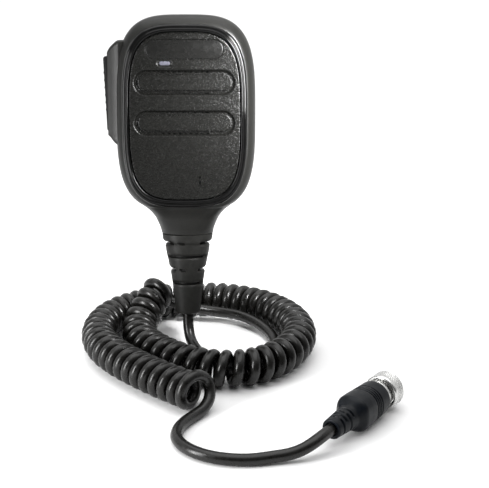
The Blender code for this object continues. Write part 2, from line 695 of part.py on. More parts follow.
def make_strain_relief(shop):
    """Tapered boot with staggered slots, a spigot into the neck and a bore for the cord."""
    rubber = material("boot_rubber", (0.022, 0.022, 0.021), 0.60)
    rings = [ellipse_ring(z, w, d, BOOT_Y) for z, w, d in BOOT_SECTIONS]
    boot = shop.solid("strain_relief", rings_to_bmesh(rings), rubber)
    smooth(boot)
    top = BOOT_SECTIONS[0][0]
    spigot = shop.cylinder("boot_spigot", NECK_BORE_R - GAP, (0, BOOT_Y, top - 2), (0, BOOT_Y, -50.0))
    slots = bmesh.new()
    for number, z in enumerate(BOOT_SLOT_LEVELS):
        reach = 10.8 - 1.2 * number
        low = z - BOOT_SLOT / 2
        high = z + BOOT_SLOT / 2
        if number % 2 == 0:
            for side in (-1, 1):
                edges = sorted((side * (reach - 2.4), side * (reach + 4)))
                add_box(slots, (edges[0], BOOT_Y - 5.0, low), (edges[1], BOOT_Y + 5.0, high))
                depth = sorted((side * (reach - 3.2), side * (reach + 4)))
                add_box(slots, (-2.6, BOOT_Y + depth[0], low), (2.6, BOOT_Y + depth[1], high))
        else:
            for side in (-1, 1):
                depth = sorted((side * (reach - 3.6), side * (reach + 4)))
                add_box(slots, (-6.2, BOOT_Y + depth[0], low), (6.2, BOOT_Y + depth[1], high))
    join(boot, spigot)
    bore = shop.cylinder("boot_bore", CORD_D / 2 + GAP, (0, BOOT_Y, -96.0), (0, BOOT_Y, -49.0), sides=16)
    exit_hole = shop.cylinder("boot_exit", CORD_D / 2 + GAP, (0, BOOT_Y, -99.0), (0, BOOT_Y, -95.0), sides=16)
    cut(boot, shop.solid("boot_slots", slots), bore, exit_hole)
    jacket = material("cord_jacket", (0.020, 0.020, 0.020), 0.38)
    inner = [(0, BOOT_Y, -96.5), (0, BOOT_Y, -60), (0, BOOT_Y, -48), (0, -25.0, -40), (0, -25.6, -33.2)]
    shop.tube("inner_lead", smooth_curve(inner, 6.0), CORD_D / 2, jacket, 2)


def make_holder(shop):
    """Magnetic holder: adhesive pad, bevelled body with its magnet, and a ribbed rubber face."""
    body_plastic = material("holder_black", (0.045, 0.045, 0.045), 0.55)
    half_width, half_height = HOLDER_SIZE
    front_y, back_y = HOLDER_BODY_Y
    rings = []
    bevels = ((back_y, 1.0), (back_y - 1.2, 0.0), (front_y + 3.2, 0.6), (front_y + 1.0, 3.0), (front_y, 4.4))
    for y, inset in bevels:
        outline = rounded_rectangle(half_width - inset, half_height - inset, 6.0)
        rings.append([(x, y, z + PAD_Z) for x, z in outline])
    body = shop.solid("holder_body", rings_to_bmesh(rings), body_plastic)
    smooth(body)
    pocket = shop.cylinder("magnet_pocket", MAGNET_R + GAP, (0, back_y - 3.6, PAD_Z),
                           (0, back_y + 1, PAD_Z), sides=28)
    cut(body, pocket)
    nickel = material("magnet_nickel", (0.60, 0.60, 0.62), 0.25, 1.0)
    shop.cylinder("holder_magnet", MAGNET_R, (0, back_y - 3.3, PAD_Z), (0, back_y - GAP, PAD_Z), nickel, 28)
    foam = material("adhesive_foam", (0.10, 0.10, 0.10), 0.90)
    pad = [(x, z + PAD_Z) for x, z in rounded_rectangle(half_width - 2.5, half_height - 2.5, 4.0)]
    shop.solid("holder_adhesive", plate_bmesh(pad, back_y + GAP, 0.0), foam)

    rubber = material("holder_rubber", (0.11, 0.11, 0.11), 0.75)
    face_width, face_height = HOLDER_FACE
    outline = [(x, z + PAD_Z) for x, z in rounded_rectangle(face_width, face_height, 2.5)]
    face = shop.solid("holder_face", plate_bmesh(outline, *HOLDER_FACE_Y), rubber)
    pockets = bmesh.new()
    floor = HOLDER_FACE_Y[0] + 0.9
    for sx in (-1, 1):
        for sz in (-1, 1):
            corner = [(face_width - 2.2, 3.4), (face_width - 2.2, face_height - 2.2), (4.0, face_height - 2.2)]
            inner = [(1.6, 1.6), (face_width - 5.6, 1.6), (1.6, face_height - 5.6)]
            for triangle in (corner, inner):
                rings = []
                for y in (HOLDER_FACE_Y[0] - 1, floor):
                    rings.append([pockets.verts.new((sx * x, y, PAD_Z + sz * z)) for x, z in triangle])
                for i in range(3):
                    j = (i + 1) % 3
                    pockets.faces.new((rings[0][i], rings[0][j], rings[1][j], rings[1][i]))
                pockets.faces.new(list(reversed(rings[0])))
                pockets.faces.new(rings[1])
    cut(face, shop.solid("holder_pockets", pockets))


def microphone_to_world(point):
    """A point of the microphone's own frame, in the object's frame, in millimetres."""
    lean = Matrix.Rotation(math.radians(-PANEL_LEAN), 3, "X")
    return lean @ (Vector(point) - Vector((0, 0, PAD_Z)))


def on_table(route):
    """Route points, given with their height above the table."""
    return [Vector((x, y, TABLE_Z + height)) for x, y, height in route]


def coil_end(points, angle):
    """Where the cord's centreline meets the coil's first face, and the way out of it."""
    outward = (points[0] - points[1]).normalized()
    side = outward.cross(Vector((0, 0, 1))).normalized()
    up = side.cross(outward)
    radius = (COIL_D - CORD_D) / 2
    turn = math.radians(angle)
    return points[0] + radius * (math.cos(turn) * side + math.sin(turn) * up), outward


def make_cord(shop):
    """Straight lead, curly stretch as its outer shape, and straight tail."""
    jacket = material("cord_jacket", (0.020, 0.020, 0.020), 0.38)
    coil = smooth_curve(on_table(COIL_ROUTE), 11.0)
    shop.tube("cord_coil", coil, COIL_D / 2, jacket, 3)
    exit_point = microphone_to_world((0, BOOT_Y, BOOT_SECTIONS[-1][0]))
    exit_way = (exit_point - microphone_to_world((0, BOOT_Y, -50))).normalized()
    meet, outward = coil_end(coil, -90.0)
    lead = [exit_point + GAP * exit_way, exit_point + CORD_STUB * exit_way] + on_table(LEAD_ROUTE)
    lead += [meet + CORD_STUB * outward, meet + GAP * outward]
    shop.tube("cord_lead", stubbed_curve(lead, 9.0), CORD_D / 2, jacket, 2)
    meet, outward = coil_end(list(reversed(coil)), -135.0)
    heading = Vector((math.cos(math.radians(PLUG_HEADING)), math.sin(math.radians(PLUG_HEADING)), 0.0))
    plug = on_table([PLUG_START])[0]
    tail = [meet + GAP * outward, meet + CORD_STUB * outward] + on_table(TAIL_ROUTE)
    tail += [plug - PLUG_STUB * heading, plug - GAP * heading]
    shop.tube("cord_tail", stubbed_curve(tail, 10.0), CORD_D / 2, jacket, 2)


def make_plug(shop):
    """Overmoulded body, metal sleeve, knurled coupling nut, insulator and contacts."""
    heading = Vector((math.cos(math.radians(PLUG_HEADING)), math.sin(math.radians(PLUG_HEADING)), 0.0))
    start = on_table([PLUG_START])[0]

    def along(distance):
        return start + distance * heading

    def turned(name, profile, mat, steps=28):
        return shop.turned(name, profile, start, along(PLUG_LENGTH), mat, steps)

    mould = material("plug_mould", (0.030, 0.032, 0.037), 0.50)
    body = [
        (0.0, 36.6), (7.4, 36.6), (7.9, 35.8), (7.9, 30.2), (7.5, 29.8), (7.5, 29.2), (7.9, 28.8),
        (7.9, 28.2), (7.5, 27.8), (7.5, 27.2), (7.9, 26.8), (7.9, 26.2), (7.5, 25.8), (7.5, 25.2),
        (7.9, 24.8), (7.8, 17.4), (7.2, 15.2), (5.6, 13.8), (5.3, 11.6), (4.6, 11.2), (4.6, 10.2),
        (5.1, 9.8), (4.9, 6.6), (4.3, 6.2), (4.3, 5.2), (4.7, 4.8), (4.4, 0.6), (3.8, 0.0),
        (0.0, 0.0),
    ]
    turned("plug_overmould", body, mould)
    bright = material("plug_metal", (0.72, 0.72, 0.70), 0.25, 1.0)
    sleeve = [(5.6, 48.6), (5.6, 40.2), (6.3, 40.0), (6.3, 36.9), (4.6, 36.9), (4.6, 48.6)]
    turned("plug_sleeve", sleeve, bright)
    nut = [
        (6.2, 48.6), (7.6, 48.6), (8.05, 48.0), (8.05, 41.6), (7.6, 41.0), (6.9, 41.0), (6.9, 42.8),
        (6.0, 43.2), (6.0, 48.2),
    ]
    turned("plug_nut", nut, bright, 36)
    black = material("insulator_black", (0.02, 0.02, 0.02), 0.45)
    insulator = turned("plug_insert", [(0.0, 52.0), (4.3, 52.0), (4.3, 38.4), (0.0, 38.4)], black, 24)
    side = heading.cross(Vector((0, 0, 1)))
    holes = bmesh.new()
    places = []
    for number in range(5):
        angle = math.radians(90 + 72 * number)
        places.append(2.5 * (math.cos(angle) * side + math.sin(angle) * Vector((0, 0, 1))))
    for offset in places:
        add_cylinder(holes, 0.9, along(46.0) + offset, along(53.0) + offset, 10)
    cut(insulator, shop.solid("contact_holes", holes))
    gold = material("contact_gold", (0.85, 0.62, 0.25), 0.25, 1.0)
    for number, offset in enumerate(places):
        shop.cylinder(f"plug_contact_{number + 1}", 0.5, along(46.4) + offset, along(51.2) + offset, gold, 10)


def main():
    clear_scene()
    parts = new_collection("hand_microphone")
    cutters = new_collection("cutters")
    upright = Workshop(parts, cutters, microphone_frame())
    make_front_case(upright)
    make_gloss_bezel(upright)
    make_front_panel(upright)
    make_panel_fittings(upright)
    make_loudspeaker(upright)
    make_electret(upright)
    make_circuit_board(upright)
    make_rear_shell(upright)
    make_rear_fittings(upright)
    make_ptt(upright)
    make_strain_relief(upright)
    make_holder(upright)
    level = Workshop(parts, cutters)
    make_cord(level)
    make_plug(level)


main()
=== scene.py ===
import math

import bmesh
import bpy
from mathutils import Matrix, Vector


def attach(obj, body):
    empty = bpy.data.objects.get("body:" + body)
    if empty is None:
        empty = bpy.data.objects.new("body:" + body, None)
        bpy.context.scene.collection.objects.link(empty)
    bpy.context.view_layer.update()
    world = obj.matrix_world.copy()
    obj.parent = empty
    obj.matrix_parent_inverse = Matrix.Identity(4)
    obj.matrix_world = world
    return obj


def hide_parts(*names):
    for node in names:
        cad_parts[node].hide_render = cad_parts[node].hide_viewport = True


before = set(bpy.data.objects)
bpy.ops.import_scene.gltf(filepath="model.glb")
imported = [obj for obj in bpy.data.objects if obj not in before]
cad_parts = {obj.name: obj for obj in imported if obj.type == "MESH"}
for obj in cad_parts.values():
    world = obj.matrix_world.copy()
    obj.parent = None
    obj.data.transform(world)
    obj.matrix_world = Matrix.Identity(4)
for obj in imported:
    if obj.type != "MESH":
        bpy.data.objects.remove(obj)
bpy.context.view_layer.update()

MM = 0.001

# The microphone's own upright frame, as in the CAD: it leans back, and the holder's centre is its origin.
PANEL_LEAN = 10.0
PAD_Z = 3.0
MIC = Matrix.Rotation(math.radians(-PANEL_LEAN), 4, "X") @ Matrix.Translation((0.0, 0.0, -PAD_Z))

# Camera, in millimetres and degrees.
CAMERA_AT = (28.1, -553.8, 114.0)
CAMERA_DOWN = 18.7
CAMERA_LENS = 80.98

# Cord, with the same route as in the CAD.
TABLE_Z = -112.0
CORD_D = 5.2
COIL_D = 17.6
CORD_STUB = 2.6
PLUG_STUB = 4.0
BOOT_EXIT = (0.0, -28.0, -97.4)
LEAD_ROUTE = [
    (0.2, -47.0, 10.8), (1.0, -49.6, 7.0), (2.9, -53.6, 4.0), (6.0, -58.8, 2.6), (10.8, -64.4, 2.6),
    (17.4, -69.2, 2.6), (25.0, -70.8, 2.6), (32.4, -68.2, 2.6), (38.4, -62.2, 2.6), (42.0, -54.4, 2.6),
    (43.0, -46.6, 2.8), (41.4, -39.2, 3.5), (37.6, -32.4, 4.6), (32.2, -26.2, 5.6), (24.6, -20.8, 6.4),
    (15.0, -18.0, 7.0), (5.0, -17.9, 8.4), (-4.0, -18.9, 11.0),
]
COIL_ROUTE = [
    (-15.4, -22.5, 21.5), (-18.4, -28.8, 19.0), (-21.8, -36.8, 14.8), (-24.2, -47.2, 10.4),
    (-21.6, -59.5, 9.0), (-14.6, -70.6, 8.9), (-5.8, -79.8, 8.9), (4.0, -87.0, 8.9), (14.0, -90.9, 8.9),
    (24.4, -91.3, 8.9), (34.4, -87.7, 8.9), (43.2, -80.4, 8.9), (50.0, -70.4, 8.9), (54.2, -58.5, 8.9),
    (54.8, -46.2, 8.9), (52.0, -34.2, 8.9), (46.0, -23.2, 8.9), (37.0, -13.8, 8.9), (26.0, -7.4, 8.9),
    (14.0, -3.9, 8.9), (2.0, -3.4, 8.9), (-10.0, -5.2, 8.9), (-20.4, -9.6, 8.9), (-29.6, -16.2, 8.9),
    (-37.4, -24.6, 8.9), (-42.4, -35.0, 8.9), (-44.2, -46.4, 8.9), (-42.8, -58.0, 8.9),
    (-38.6, -69.0, 8.9), (-32.0, -79.2, 8.9), (-24.0, -88.6, 8.9), (-14.4, -98.4, 8.9),
    (-4.4, -107.4, 8.9), (6.2, -116.4, 8.9),
]
# The CAD's tail ends at the last point. Here a bridge into the plug takes that point's place.
TAIL_ROUTE = [
    (11.4, -118.0, 4.1), (9.6, -121.2, 3.0), (6.4, -125.4, 2.6), (3.0, -130.8, 2.6), (0.2, -137.4, 2.6),
    (-0.2, -145.4, 2.6), (3.6, -153.2, 2.6), (10.6, -159.2, 2.6), (19.6, -162.8, 2.6), (30.4, -163.6, 2.6),
    (42.4, -161.6, 3.2), (53.4, -157.6, 5.2),
]
PLUG_START = (63.8, -148.9, 8.2)
PLUG_HEADING = 54.0
# Distance from turn to turn of the curly stretch, at shares of its way from the lead to the tail.
TURN_PITCH = [
    (0.00, 6.8), (0.10, 6.6), (0.20, 6.5), (0.25, 6.7), (0.30, 6.0), (0.40, 5.9), (0.50, 5.9),
    (0.62, 5.8), (0.76, 6.0), (0.90, 5.9), (1.00, 5.9),
]
FIRST_PHASE = 203.0            # where the strand enters and leaves the curly stretch
LAST_PHASE = 42.0
OPENING = 1.7                  # how much wider the last half turn lies
POINTS_PER_TURN = 22
BRIDGE_PULL = 1.35             # how far the ends of a bridge keep their direction
CORD_SPACING = 1.6             # from point to point of the straight stretches
COIL_SPACING = 1.5             # the same along the middle of the curly stretch
BRIDGE_SPACING = 0.8

# Outline of the case and what sits in it, as in the CAD. Sections are (y, half width, half height, centre z).
PLATFORM_Y = -11.0
FRONT_PROFILE = [
    (-42.0, 28.4, 42.4, -0.1), (-42.7, 28.9, 42.9, -0.1), (-42.5, 29.6, 43.5, 0.0), (-41.9, 30.4, 44.2, 0.1),
    (-40.8, 31.4, 45.1, 0.4), (-39.2, 32.4, 46.0, 0.8), (-37.2, 33.05, 46.55, 1.0), (-35.0, 33.3, 46.7, 1.1),
    (-32.5, 33.35, 46.75, 1.1), (-32.25, 33.2, 46.6, 1.1),
]
REAR_RIM = [
    (-31.95, 33.1, 46.5, 1.1), (-31.7, 33.3, 46.7, 1.1), (-30.9, 33.32, 46.72, 1.1),
    (-30.8, 33.05, 46.45, 1.1), (-30.5, 33.05, 46.45, 1.1), (-30.4, 33.22, 46.62, 1.1),
]
REAR_PROFILE = [
    (-30.4, 33.22, 46.62, 1.1), (-28.6, 32.8, 46.2, 1.1), (-24.5, 30.4, 44.2, 1.1), (-20.0, 26.4, 40.8, 1.0),
    (-16.4, 22.4, 37.0, 1.0), (-13.8, 19.9, 34.4, 1.0), (-12.2, 19.15, 33.6, 1.0), (-11.5, 18.9, 33.3, 1.0),
]
REAR_PLATFORM_EDGE = [(-11.2, 18.7, 33.1, 1.0), (-11.05, 18.45, 32.85, 1.0), (PLATFORM_Y, 18.1, 32.5, 1.0)]
# The space inside the halves, and what the neck leaves free for the front half.
FRONT_INSIDE = [
    (-32.25, 31.2, 44.6, 1.1), (-36.0, 31.0, 44.4, 1.0), (-38.6, 30.0, 43.6, 0.8), (-40.2, 28.2, 42.2, 0.4),
    (-40.6, 27.0, 41.0, 0.2),
]
REAR_INSIDE = [
    (-31.95, 31.2, 44.6, 1.1), (-28.6, 30.8, 44.2, 1.1), (-24.5, 28.4, 42.2, 1.1), (-20.0, 24.4, 38.8, 1.0),
    (-16.6, 20.6, 35.2, 1.0), (-14.7, 17.4, 32.0, 1.0),
]
NECK_CLEARANCE = [
    (-46.0, 26.0, 40.0, 0.0), (-40.6, 27.0, 41.0, 0.2), (-38.6, 30.0, 43.6, 0.8), (-31.9, 31.2, 44.6, 1.1),
    (-28.6, 30.8, 44.2, 1.1), (-24.5, 28.4, 42.2, 1.1),
]
NECK_BORE_R = 6.3
RIDGE = (18.2, 4.6, (0.0, 28.6))
RIDGE_STEPS = [(-13.5, 0.0), (-10.6, 0.0), (-10.25, -0.12), (-10.0, -0.4), (-9.85, -0.8), (-9.8, -1.3)]
NECK_SHAPE = [                 # (z, half width, front y, back y, squareness)
    (-38.0, 22.0, -40.5, -22.5, 2.8), (-40.5, 23.6, -42.2, -20.5, 2.9), (-43.0, 21.2, -42.6, -19.4, 3.0),
    (-44.5, 19.2, -42.2, -19.0, 2.9), (-46.5, 17.3, -41.3, -18.7, 2.7), (-49.0, 15.5, -40.3, -18.4, 2.5),
    (-52.3, 14.0, -39.3, -18.2, 2.3), (-55.0, 13.05, -38.5, -18.05, 2.15), (-57.1, 12.6, -38.0, -18.0, 2.05),
]
PANEL_Y = -45.0
PANEL_BACK_Y = -43.1
PANEL = (26.1, 39.1, -0.1)
BEZEL_PROFILE = [              # (y, wider than the panel, taller than the panel)
    (-42.9, 0.40, 0.42), (-45.1, 0.38, 0.40), (-45.65, 0.48, 0.52), (-45.92, 0.85, 0.98),
    (-45.85, 1.35, 1.50), (-45.50, 1.70, 1.90), (-45.38, 1.95, 2.15), (-45.42, 2.25, 2.50),
    (-45.20, 2.80, 3.12), (-44.60, 3.18, 3.58), (-43.80, 3.33, 3.80), (-43.20, 3.30, 3.78),
    (-42.9, 3.10, 3.60),
]
SLOT_Z = [15.9, -3.0]
SLOT_OUTER = (24.3, 6.35)
SLOT_INNER = (21.1, 3.4)
SLOT_PROFILE = [               # (distance inwards from the slot's outline, depth)
    (0.1, 0.03), (0.4, 0.2), (0.75, 0.65), (1.05, 1.15), (1.35, 1.45), (1.7, 1.6), (2.3, 1.6),
    (2.55, 1.5), (2.65, 0.7), (2.75, 0.2), (2.9, 0.04),
]
NAME_PLATE = (18.1, 4.2, 31.2)
LED = (-9.25, 24.8)
LED_SIZE = (2.6, 0.95)
LED_POCKET = (3.7, 1.9)
LED_HOLE = (2.75, 1.1)
LENS_BACK_Y = -32.0
# Edges of what sits in the panel: (depth below the panel's front, growth of the outline).
PANEL_EDGE = [(0.0, -0.42), (0.1, -0.16), (0.36, 0.0)]
NAME_RECESS_EDGE = [(-1.0, 0.62), (0.0, 0.62), (0.12, 0.50), (0.38, 0.22), (0.8, 0.18)]
NAME_PLATE_EDGE = [(0.6, 0.0), (0.22, 0.0), (0.14, -0.10), (0.10, -0.30)]
LED_POCKET_EDGE = [(-1.0, 0.2), (0.0, 0.2), (0.15, -0.05), (0.42, -0.5), (0.5, -0.8)]
LENS_EDGE = [(0.45, 0.0), (0.25, -0.06), (0.12, -0.22), (0.06, -0.45)]
MIC_PORT = (7.0, -30.2)
SPEAKER_Z = 6.5
SPEAKER_R = 15.0
SCREW_X = 14.8
SCREW_Z = [18.0, -13.0]
POST_R = 2.5                   # posts of the front half and their pilot holes
PILOT_R = 1.3
BOSS_R = 3.4                   # bosses of the rear half, with the screws' heads and shanks
COUNTERBORE_R = 2.9
SCREW_HOLE_R = 1.6
PLATE = (17.9, -17.5, 21.0, 23.5)
PLATE_Y = (-12.0, -10.8)
LABEL = (5.6, 4.6, -23.6)

# Push-to-talk button.
PTT_HOUSING_SECTIONS = [       # (x, front y, back y, low z, high z, corner radius)
    (-26.0, -39.2, -23.0, -14.0, 35.8, 2.0), (-31.0, -39.2, -23.0, -14.0, 35.8, 2.0),
    (-32.6, -38.75, -23.2, -13.8, 35.3, 2.0), (-34.4, -37.95, -23.6, -12.4, 33.9, 1.9),
    (-35.8, -37.25, -24.0, -10.6, 32.5, 1.7), (-36.7, -36.8, -24.5, -9.6, 31.2, 1.4),
    (-37.15, -36.55, -24.9, -9.2, 30.2, 1.1),
]
PTT_BUTTON_Y = (-35.6, -26.2)
PTT_BUTTON_Z = (-7.5, 28.4)
PTT_BUTTON_REACH = [(-7.5, 37.75), (-6.4, 37.9), (6.0, 38.35), (18.0, 38.9), (27.4, 39.3), (28.4, 39.3)]
PTT_BUTTON_BACK_X = -34.4
PTT_END_ROUND = 1.5            # roundings of the button's ends and of its long edges
PTT_CORNER = 1.6
PTT_RIBS = [3.0 + 3.5 * number for number in range(6)]
PTT_PIVOT = (-35.6, -5.4)

# Strain relief boot: sections are (z, half width, half depth).
BOOT_Y = -28.0
BOOT_SECTIONS = [
    (-57.35, 12.5, 9.9), (-61.0, 12.0, 9.7), (-62.6, 11.1, 9.2), (-66.0, 10.6, 9.0),
    (-76.0, 8.6, 8.2), (-86.0, 7.1, 7.1), (-97.4, 6.1, 6.1),
]
BOOT_SLOT_LEVELS = [-61.8, -68.4, -75.0, -81.8]
BOOT_SLOT = 1.3
BOOT_SQUARENESS = 2.1
# Where rings lie on each side of a slot's middle.
BOOT_SLOT_STATIONS = [0.35, 0.49, 0.58, 0.66, 0.74, 0.84, 1.0]

# Magnetic holder.
HOLDER_BODY_Y = (-8.2, -1.3)
HOLDER_FACE_Y = (-10.5, -8.5)
HOLDER_SIZE = (21.5, 20.5)
HOLDER_FACE = (16.5, 15.5)
MAGNET_POCKET_R = 10.3
# Edges: (distance behind the holder's back, its front or its face pad's front, growth of the outline).
HOLDER_BACK_EDGE = [(0.0, -1.2), (-0.25, -0.7), (-0.9, -0.2), (-1.6, 0.0)]
HOLDER_FRONT_EDGE = [
    (3.4, 0.0), (3.0, -0.15), (2.7, -0.45), (0.9, -2.9), (0.5, -3.5), (0.15, -4.1), (0.0, -4.9),
]
HOLDER_FACE_EDGE = [(0.3, 0.0), (0.08, -0.1), (0.0, -0.3)]
# Pockets of the face pad: (distance behind its front, share of the pocket's full size).
HOLDER_POCKET_STEPS = [(-0.5, 1.06), (0.0, 1.06), (0.2, 0.98), (0.9, 0.92)]

# Plug: t is the distance from its cord end.
PLUG_BODY = [                  # (t, radius, squareness)
    (0.0, 4.40, 2.0), (5.0, 4.75, 2.0), (9.0, 5.05, 2.0), (13.4, 5.40, 2.0), (14.0, 5.65, 2.0),
    (14.8, 6.35, 2.1), (15.8, 7.20, 2.3), (16.6, 7.65, 2.5), (17.6, 7.88, 2.6), (22.0, 7.95, 2.5),
    (26.0, 7.90, 2.3),
    (31.0, 7.90, 2.1), (35.4, 7.90, 2.0), (36.2, 7.75, 2.0),
]
PLUG_GROOVES = [25.5, 26.9, 28.3, 29.7]
PLUG_RELIEF_SLOTS = [3.4, 5.9, 8.4, 10.9]
PLUG_WINDOWS = [3.4, 8.4]
SLEEVE_PROFILE = [             # (radius, t)
    (5.6, 48.6), (5.6, 40.3), (6.0, 40.15), (6.25, 40.0), (6.3, 39.8), (6.3, 37.2), (6.2, 37.0), (5.9, 36.9),
    (4.6, 36.9), (4.6, 48.6),
]
NUT_R = 8.05
NUT_INSIDE = [
    (6.95, 41.0), (6.9, 41.2), (6.9, 42.8), (6.0, 43.2), (6.0, 48.0), (6.3, 48.5), (6.7, 48.6),
]
NUT_FRONT = [(7.3, 48.6), (7.65, 48.4), (7.95, 48.0), (8.03, 47.6)]
NUT_BAND = [(8.03, 43.0), (8.05, 42.8), (8.05, 41.9), (7.9, 41.4), (7.6, 41.1), (7.3, 41.0)]
KNURL = (43.3, 47.3, 0.28)     # start and end along the plug, and depth
KNURL_COUNT = 36
KNURL_PITCH = 1.3
INSERT_ROWS = [                # (t, radius, depth of the flutes)
    (38.4, 4.25, 0.0), (48.9, 4.25, 0.0), (49.0, 4.3, 0.12), (51.5, 4.3, 0.12), (51.8, 4.22, 0.08),
    (51.95, 4.05, 0.0), (52.0, 3.8, 0.0),
]
CONTACT_CIRCLE_R = 2.5

# Studio: the world is bright towards WORLD_BRIGHT_WAY and dark the other way.
WORLD_STRENGTH = 1.0
WORLD_BRIGHT_WAY = (0.0, 0.75, 0.65)
WORLD_LEVELS = [(0.0, 0.08), (0.42, 0.10), (0.62, 0.60), (0.80, 1.0)]


def metres(point):
    return Vector(point) * MM


def on_table(route):
    """Route points, given with their height above the table."""
    return [Vector((x, y, TABLE_Z + height)) for x, y, height in route]


def curve_value(a, b, c, d, t):
    """Catmull-Rom value at a share t of the way from b to c, for numbers or vectors."""
    return 0.5 * (2 * b + (c - a) * t + (2 * a - 5 * b + 4 * c - d) * t ** 2
                  + (3 * b - a - 3 * c + d) * t ** 3)


def smooth_curve(points, spacing, before=None):
    """Points at even spacing along a Catmull-Rom curve through the route's points."""
    route = [Vector(point) for point in points]
    route.insert(0, Vector(before) if before else route[0] * 2 - route[1])
    route.append(route[-1] * 2 - route[-2])
    steps = 12
    fine = []
    for a, b, c, d in zip(route, route[1:], route[2:], route[3:]):
        fine += [curve_value(a, b, c, d, step / steps) for step in range(steps)]
    fine.append(route[-2])
    lengths = [0.0]
    for a, b in zip(fine, fine[1:]):
        lengths.append(lengths[-1] + (b - a).length)
    count = max(2, round(lengths[-1] / spacing))
    even = []
    index = 0
    for step in range(count + 1):
        wanted = lengths[-1] * step / count
        while index < len(fine) - 2 and lengths[index + 1] < wanted:
            index += 1
        span = lengths[index + 1] - lengths[index]
        even.append(fine[index].lerp(fine[index + 1], (wanted - lengths[index]) / span))
    return even


def between(table, place):
    """Linear reading of a list of (place, value)."""
    for (start, first), (end, last) in zip(table, table[1:]):
        if place <= end:
            return first + (last - first) * (place - start) / (end - start)
    return table[-1][1]


def make_camera():
    data = bpy.data.cameras.new("camera")
    camera = new_object("camera", data)
    data.lens = CAMERA_LENS
    data.sensor_width = 36.0
    data.clip_start = 0.01
    camera.location = metres(CAMERA_AT)
    camera.rotation_euler = (math.radians(90.0 - CAMERA_DOWN), 0.0, 0.0)
    bpy.context.scene.camera = camera


def helix(centre_line, start_angle, end_angle):
    """A left-handed helix round a line of evenly spaced points, with the pitch of TURN_PITCH.

    Angles are from the upward side of the line, and clockwise seen along it.
    """
    spans = [(b - a).length for a, b in zip(centre_line, centre_line[1:])]
    total = sum(spans)
    turned = [0.0]
    done = 0.0
    for span in spans:
        turned.append(turned[-1] + 2 * math.pi * span / between(TURN_PITCH, (done + span / 2) / total))
        done += span
    whole = (end_angle - start_angle) % (2 * math.pi)
    wanted = whole + 2 * math.pi * round((turned[-1] - whole) / (2 * math.pi))
    stretch = wanted / turned[-1]
    steps = round(wanted / (2 * math.pi) * POINTS_PER_TURN)
    points = []
    index = 0
    for step in range(steps + 1):
        angle = wanted * step / steps
        while index < len(turned) - 2 and turned[index + 1] * stretch < angle:
            index += 1
        share = (angle / stretch - turned[index]) / (turned[index + 1] - turned[index])
        place = centre_line[index].lerp(centre_line[index + 1], share)
        low = centre_line[max(index - 1, 0)]
        high = centre_line[min(index + 2, len(centre_line) - 1)]
        ahead = (high - low).normalized()
        side = ahead.cross(Vector((0.0, 0.0, 1.0))).normalized()
        up = side.cross(ahead)
        phase = start_angle + angle
        radius = (COIL_D - CORD_D) / 2 + OPENING * ramp_step(angle, wanted - 1.2 * math.pi, wanted)
        points.append(place + radius * (math.cos(phase) * up - math.sin(phase) * side))
    return points


def bridge(before, start, end, after, spacing):
    """Points of a curve from start to end that goes on from before and leads into after."""
    reach = (end - start).length
    out = (start - before).normalized() * reach * BRIDGE_PULL
    into = (after - end).normalized() * reach * BRIDGE_PULL
    count = max(2, round(reach / spacing))
    points = []
    for step in range(1, count):
        t = step / count
        points.append((2 * t ** 3 - 3 * t ** 2 + 1) * start + (t ** 3 - 2 * t ** 2 + t) * out
                      + (3 * t ** 2 - 2 * t ** 3) * end + (t ** 3 - t ** 2) * into)
    return points


def plug_heading():
    return Vector((math.cos(math.radians(PLUG_HEADING)), math.sin(math.radians(PLUG_HEADING)), 0.0))


def cord_route():
    """The whole cord's centreline, and the point where it leaves the boot."""
    centre_line = smooth_curve(on_table(COIL_ROUTE), COIL_SPACING)
    turns = helix(centre_line, math.radians(FIRST_PHASE), math.radians(LAST_PHASE))
    exit_point = MIC @ Vector(BOOT_EXIT)
    exit_way = (exit_point - MIC @ Vector((0.0, BOOT_EXIT[1], -50.0))).normalized()
    lead_start = [exit_point + CORD_STUB * exit_way]
    lead = smooth_curve(lead_start + on_table(LEAD_ROUTE), CORD_SPACING, before=exit_point)
    plug = on_table([PLUG_START])[0]
    stub = plug - PLUG_STUB * plug_heading()
    tail = smooth_curve(on_table(TAIL_ROUTE[:-1]), CORD_SPACING)
    joined = bridge(lead[-2], lead[-1], turns[0], turns[1], BRIDGE_SPACING)
    leaving = bridge(turns[-2], turns[-1], tail[0], tail[1], BRIDGE_SPACING)
    arriving = bridge(tail[-2], tail[-1], stub, plug, BRIDGE_SPACING)
    route = [exit_point] + lead + joined + turns + leaving + tail + arriving + [stub, plug]
    return route, exit_point


def make_cord(material):
    """The whole free cord as one curve: straight lead, curly stretch and straight tail."""
    route, exit_point = cord_route()
    curve = bpy.data.curves.new("cord", "CURVE")
    curve.dimensions = "3D"
    curve.bevel_depth = CORD_D / 2 * MM
    curve.bevel_resolution = 5
    curve.use_fill_caps = True
    spline = curve.splines.new("POLY")
    spline.points.add(len(route) - 1)
    for point, place in zip(spline.points, route):
        point.co = (*metres(place), 1.0)
    cord = new_object("cord", curve)
    curve.materials.append(material)
    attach(cord, "microphone")
    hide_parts("cord_lead", "cord_coil", "cord_tail")
    return cord, exit_point


def new_object(name, data):
    obj = bpy.data.objects.new(name, data)
    bpy.context.scene.collection.objects.link(obj)
    return obj


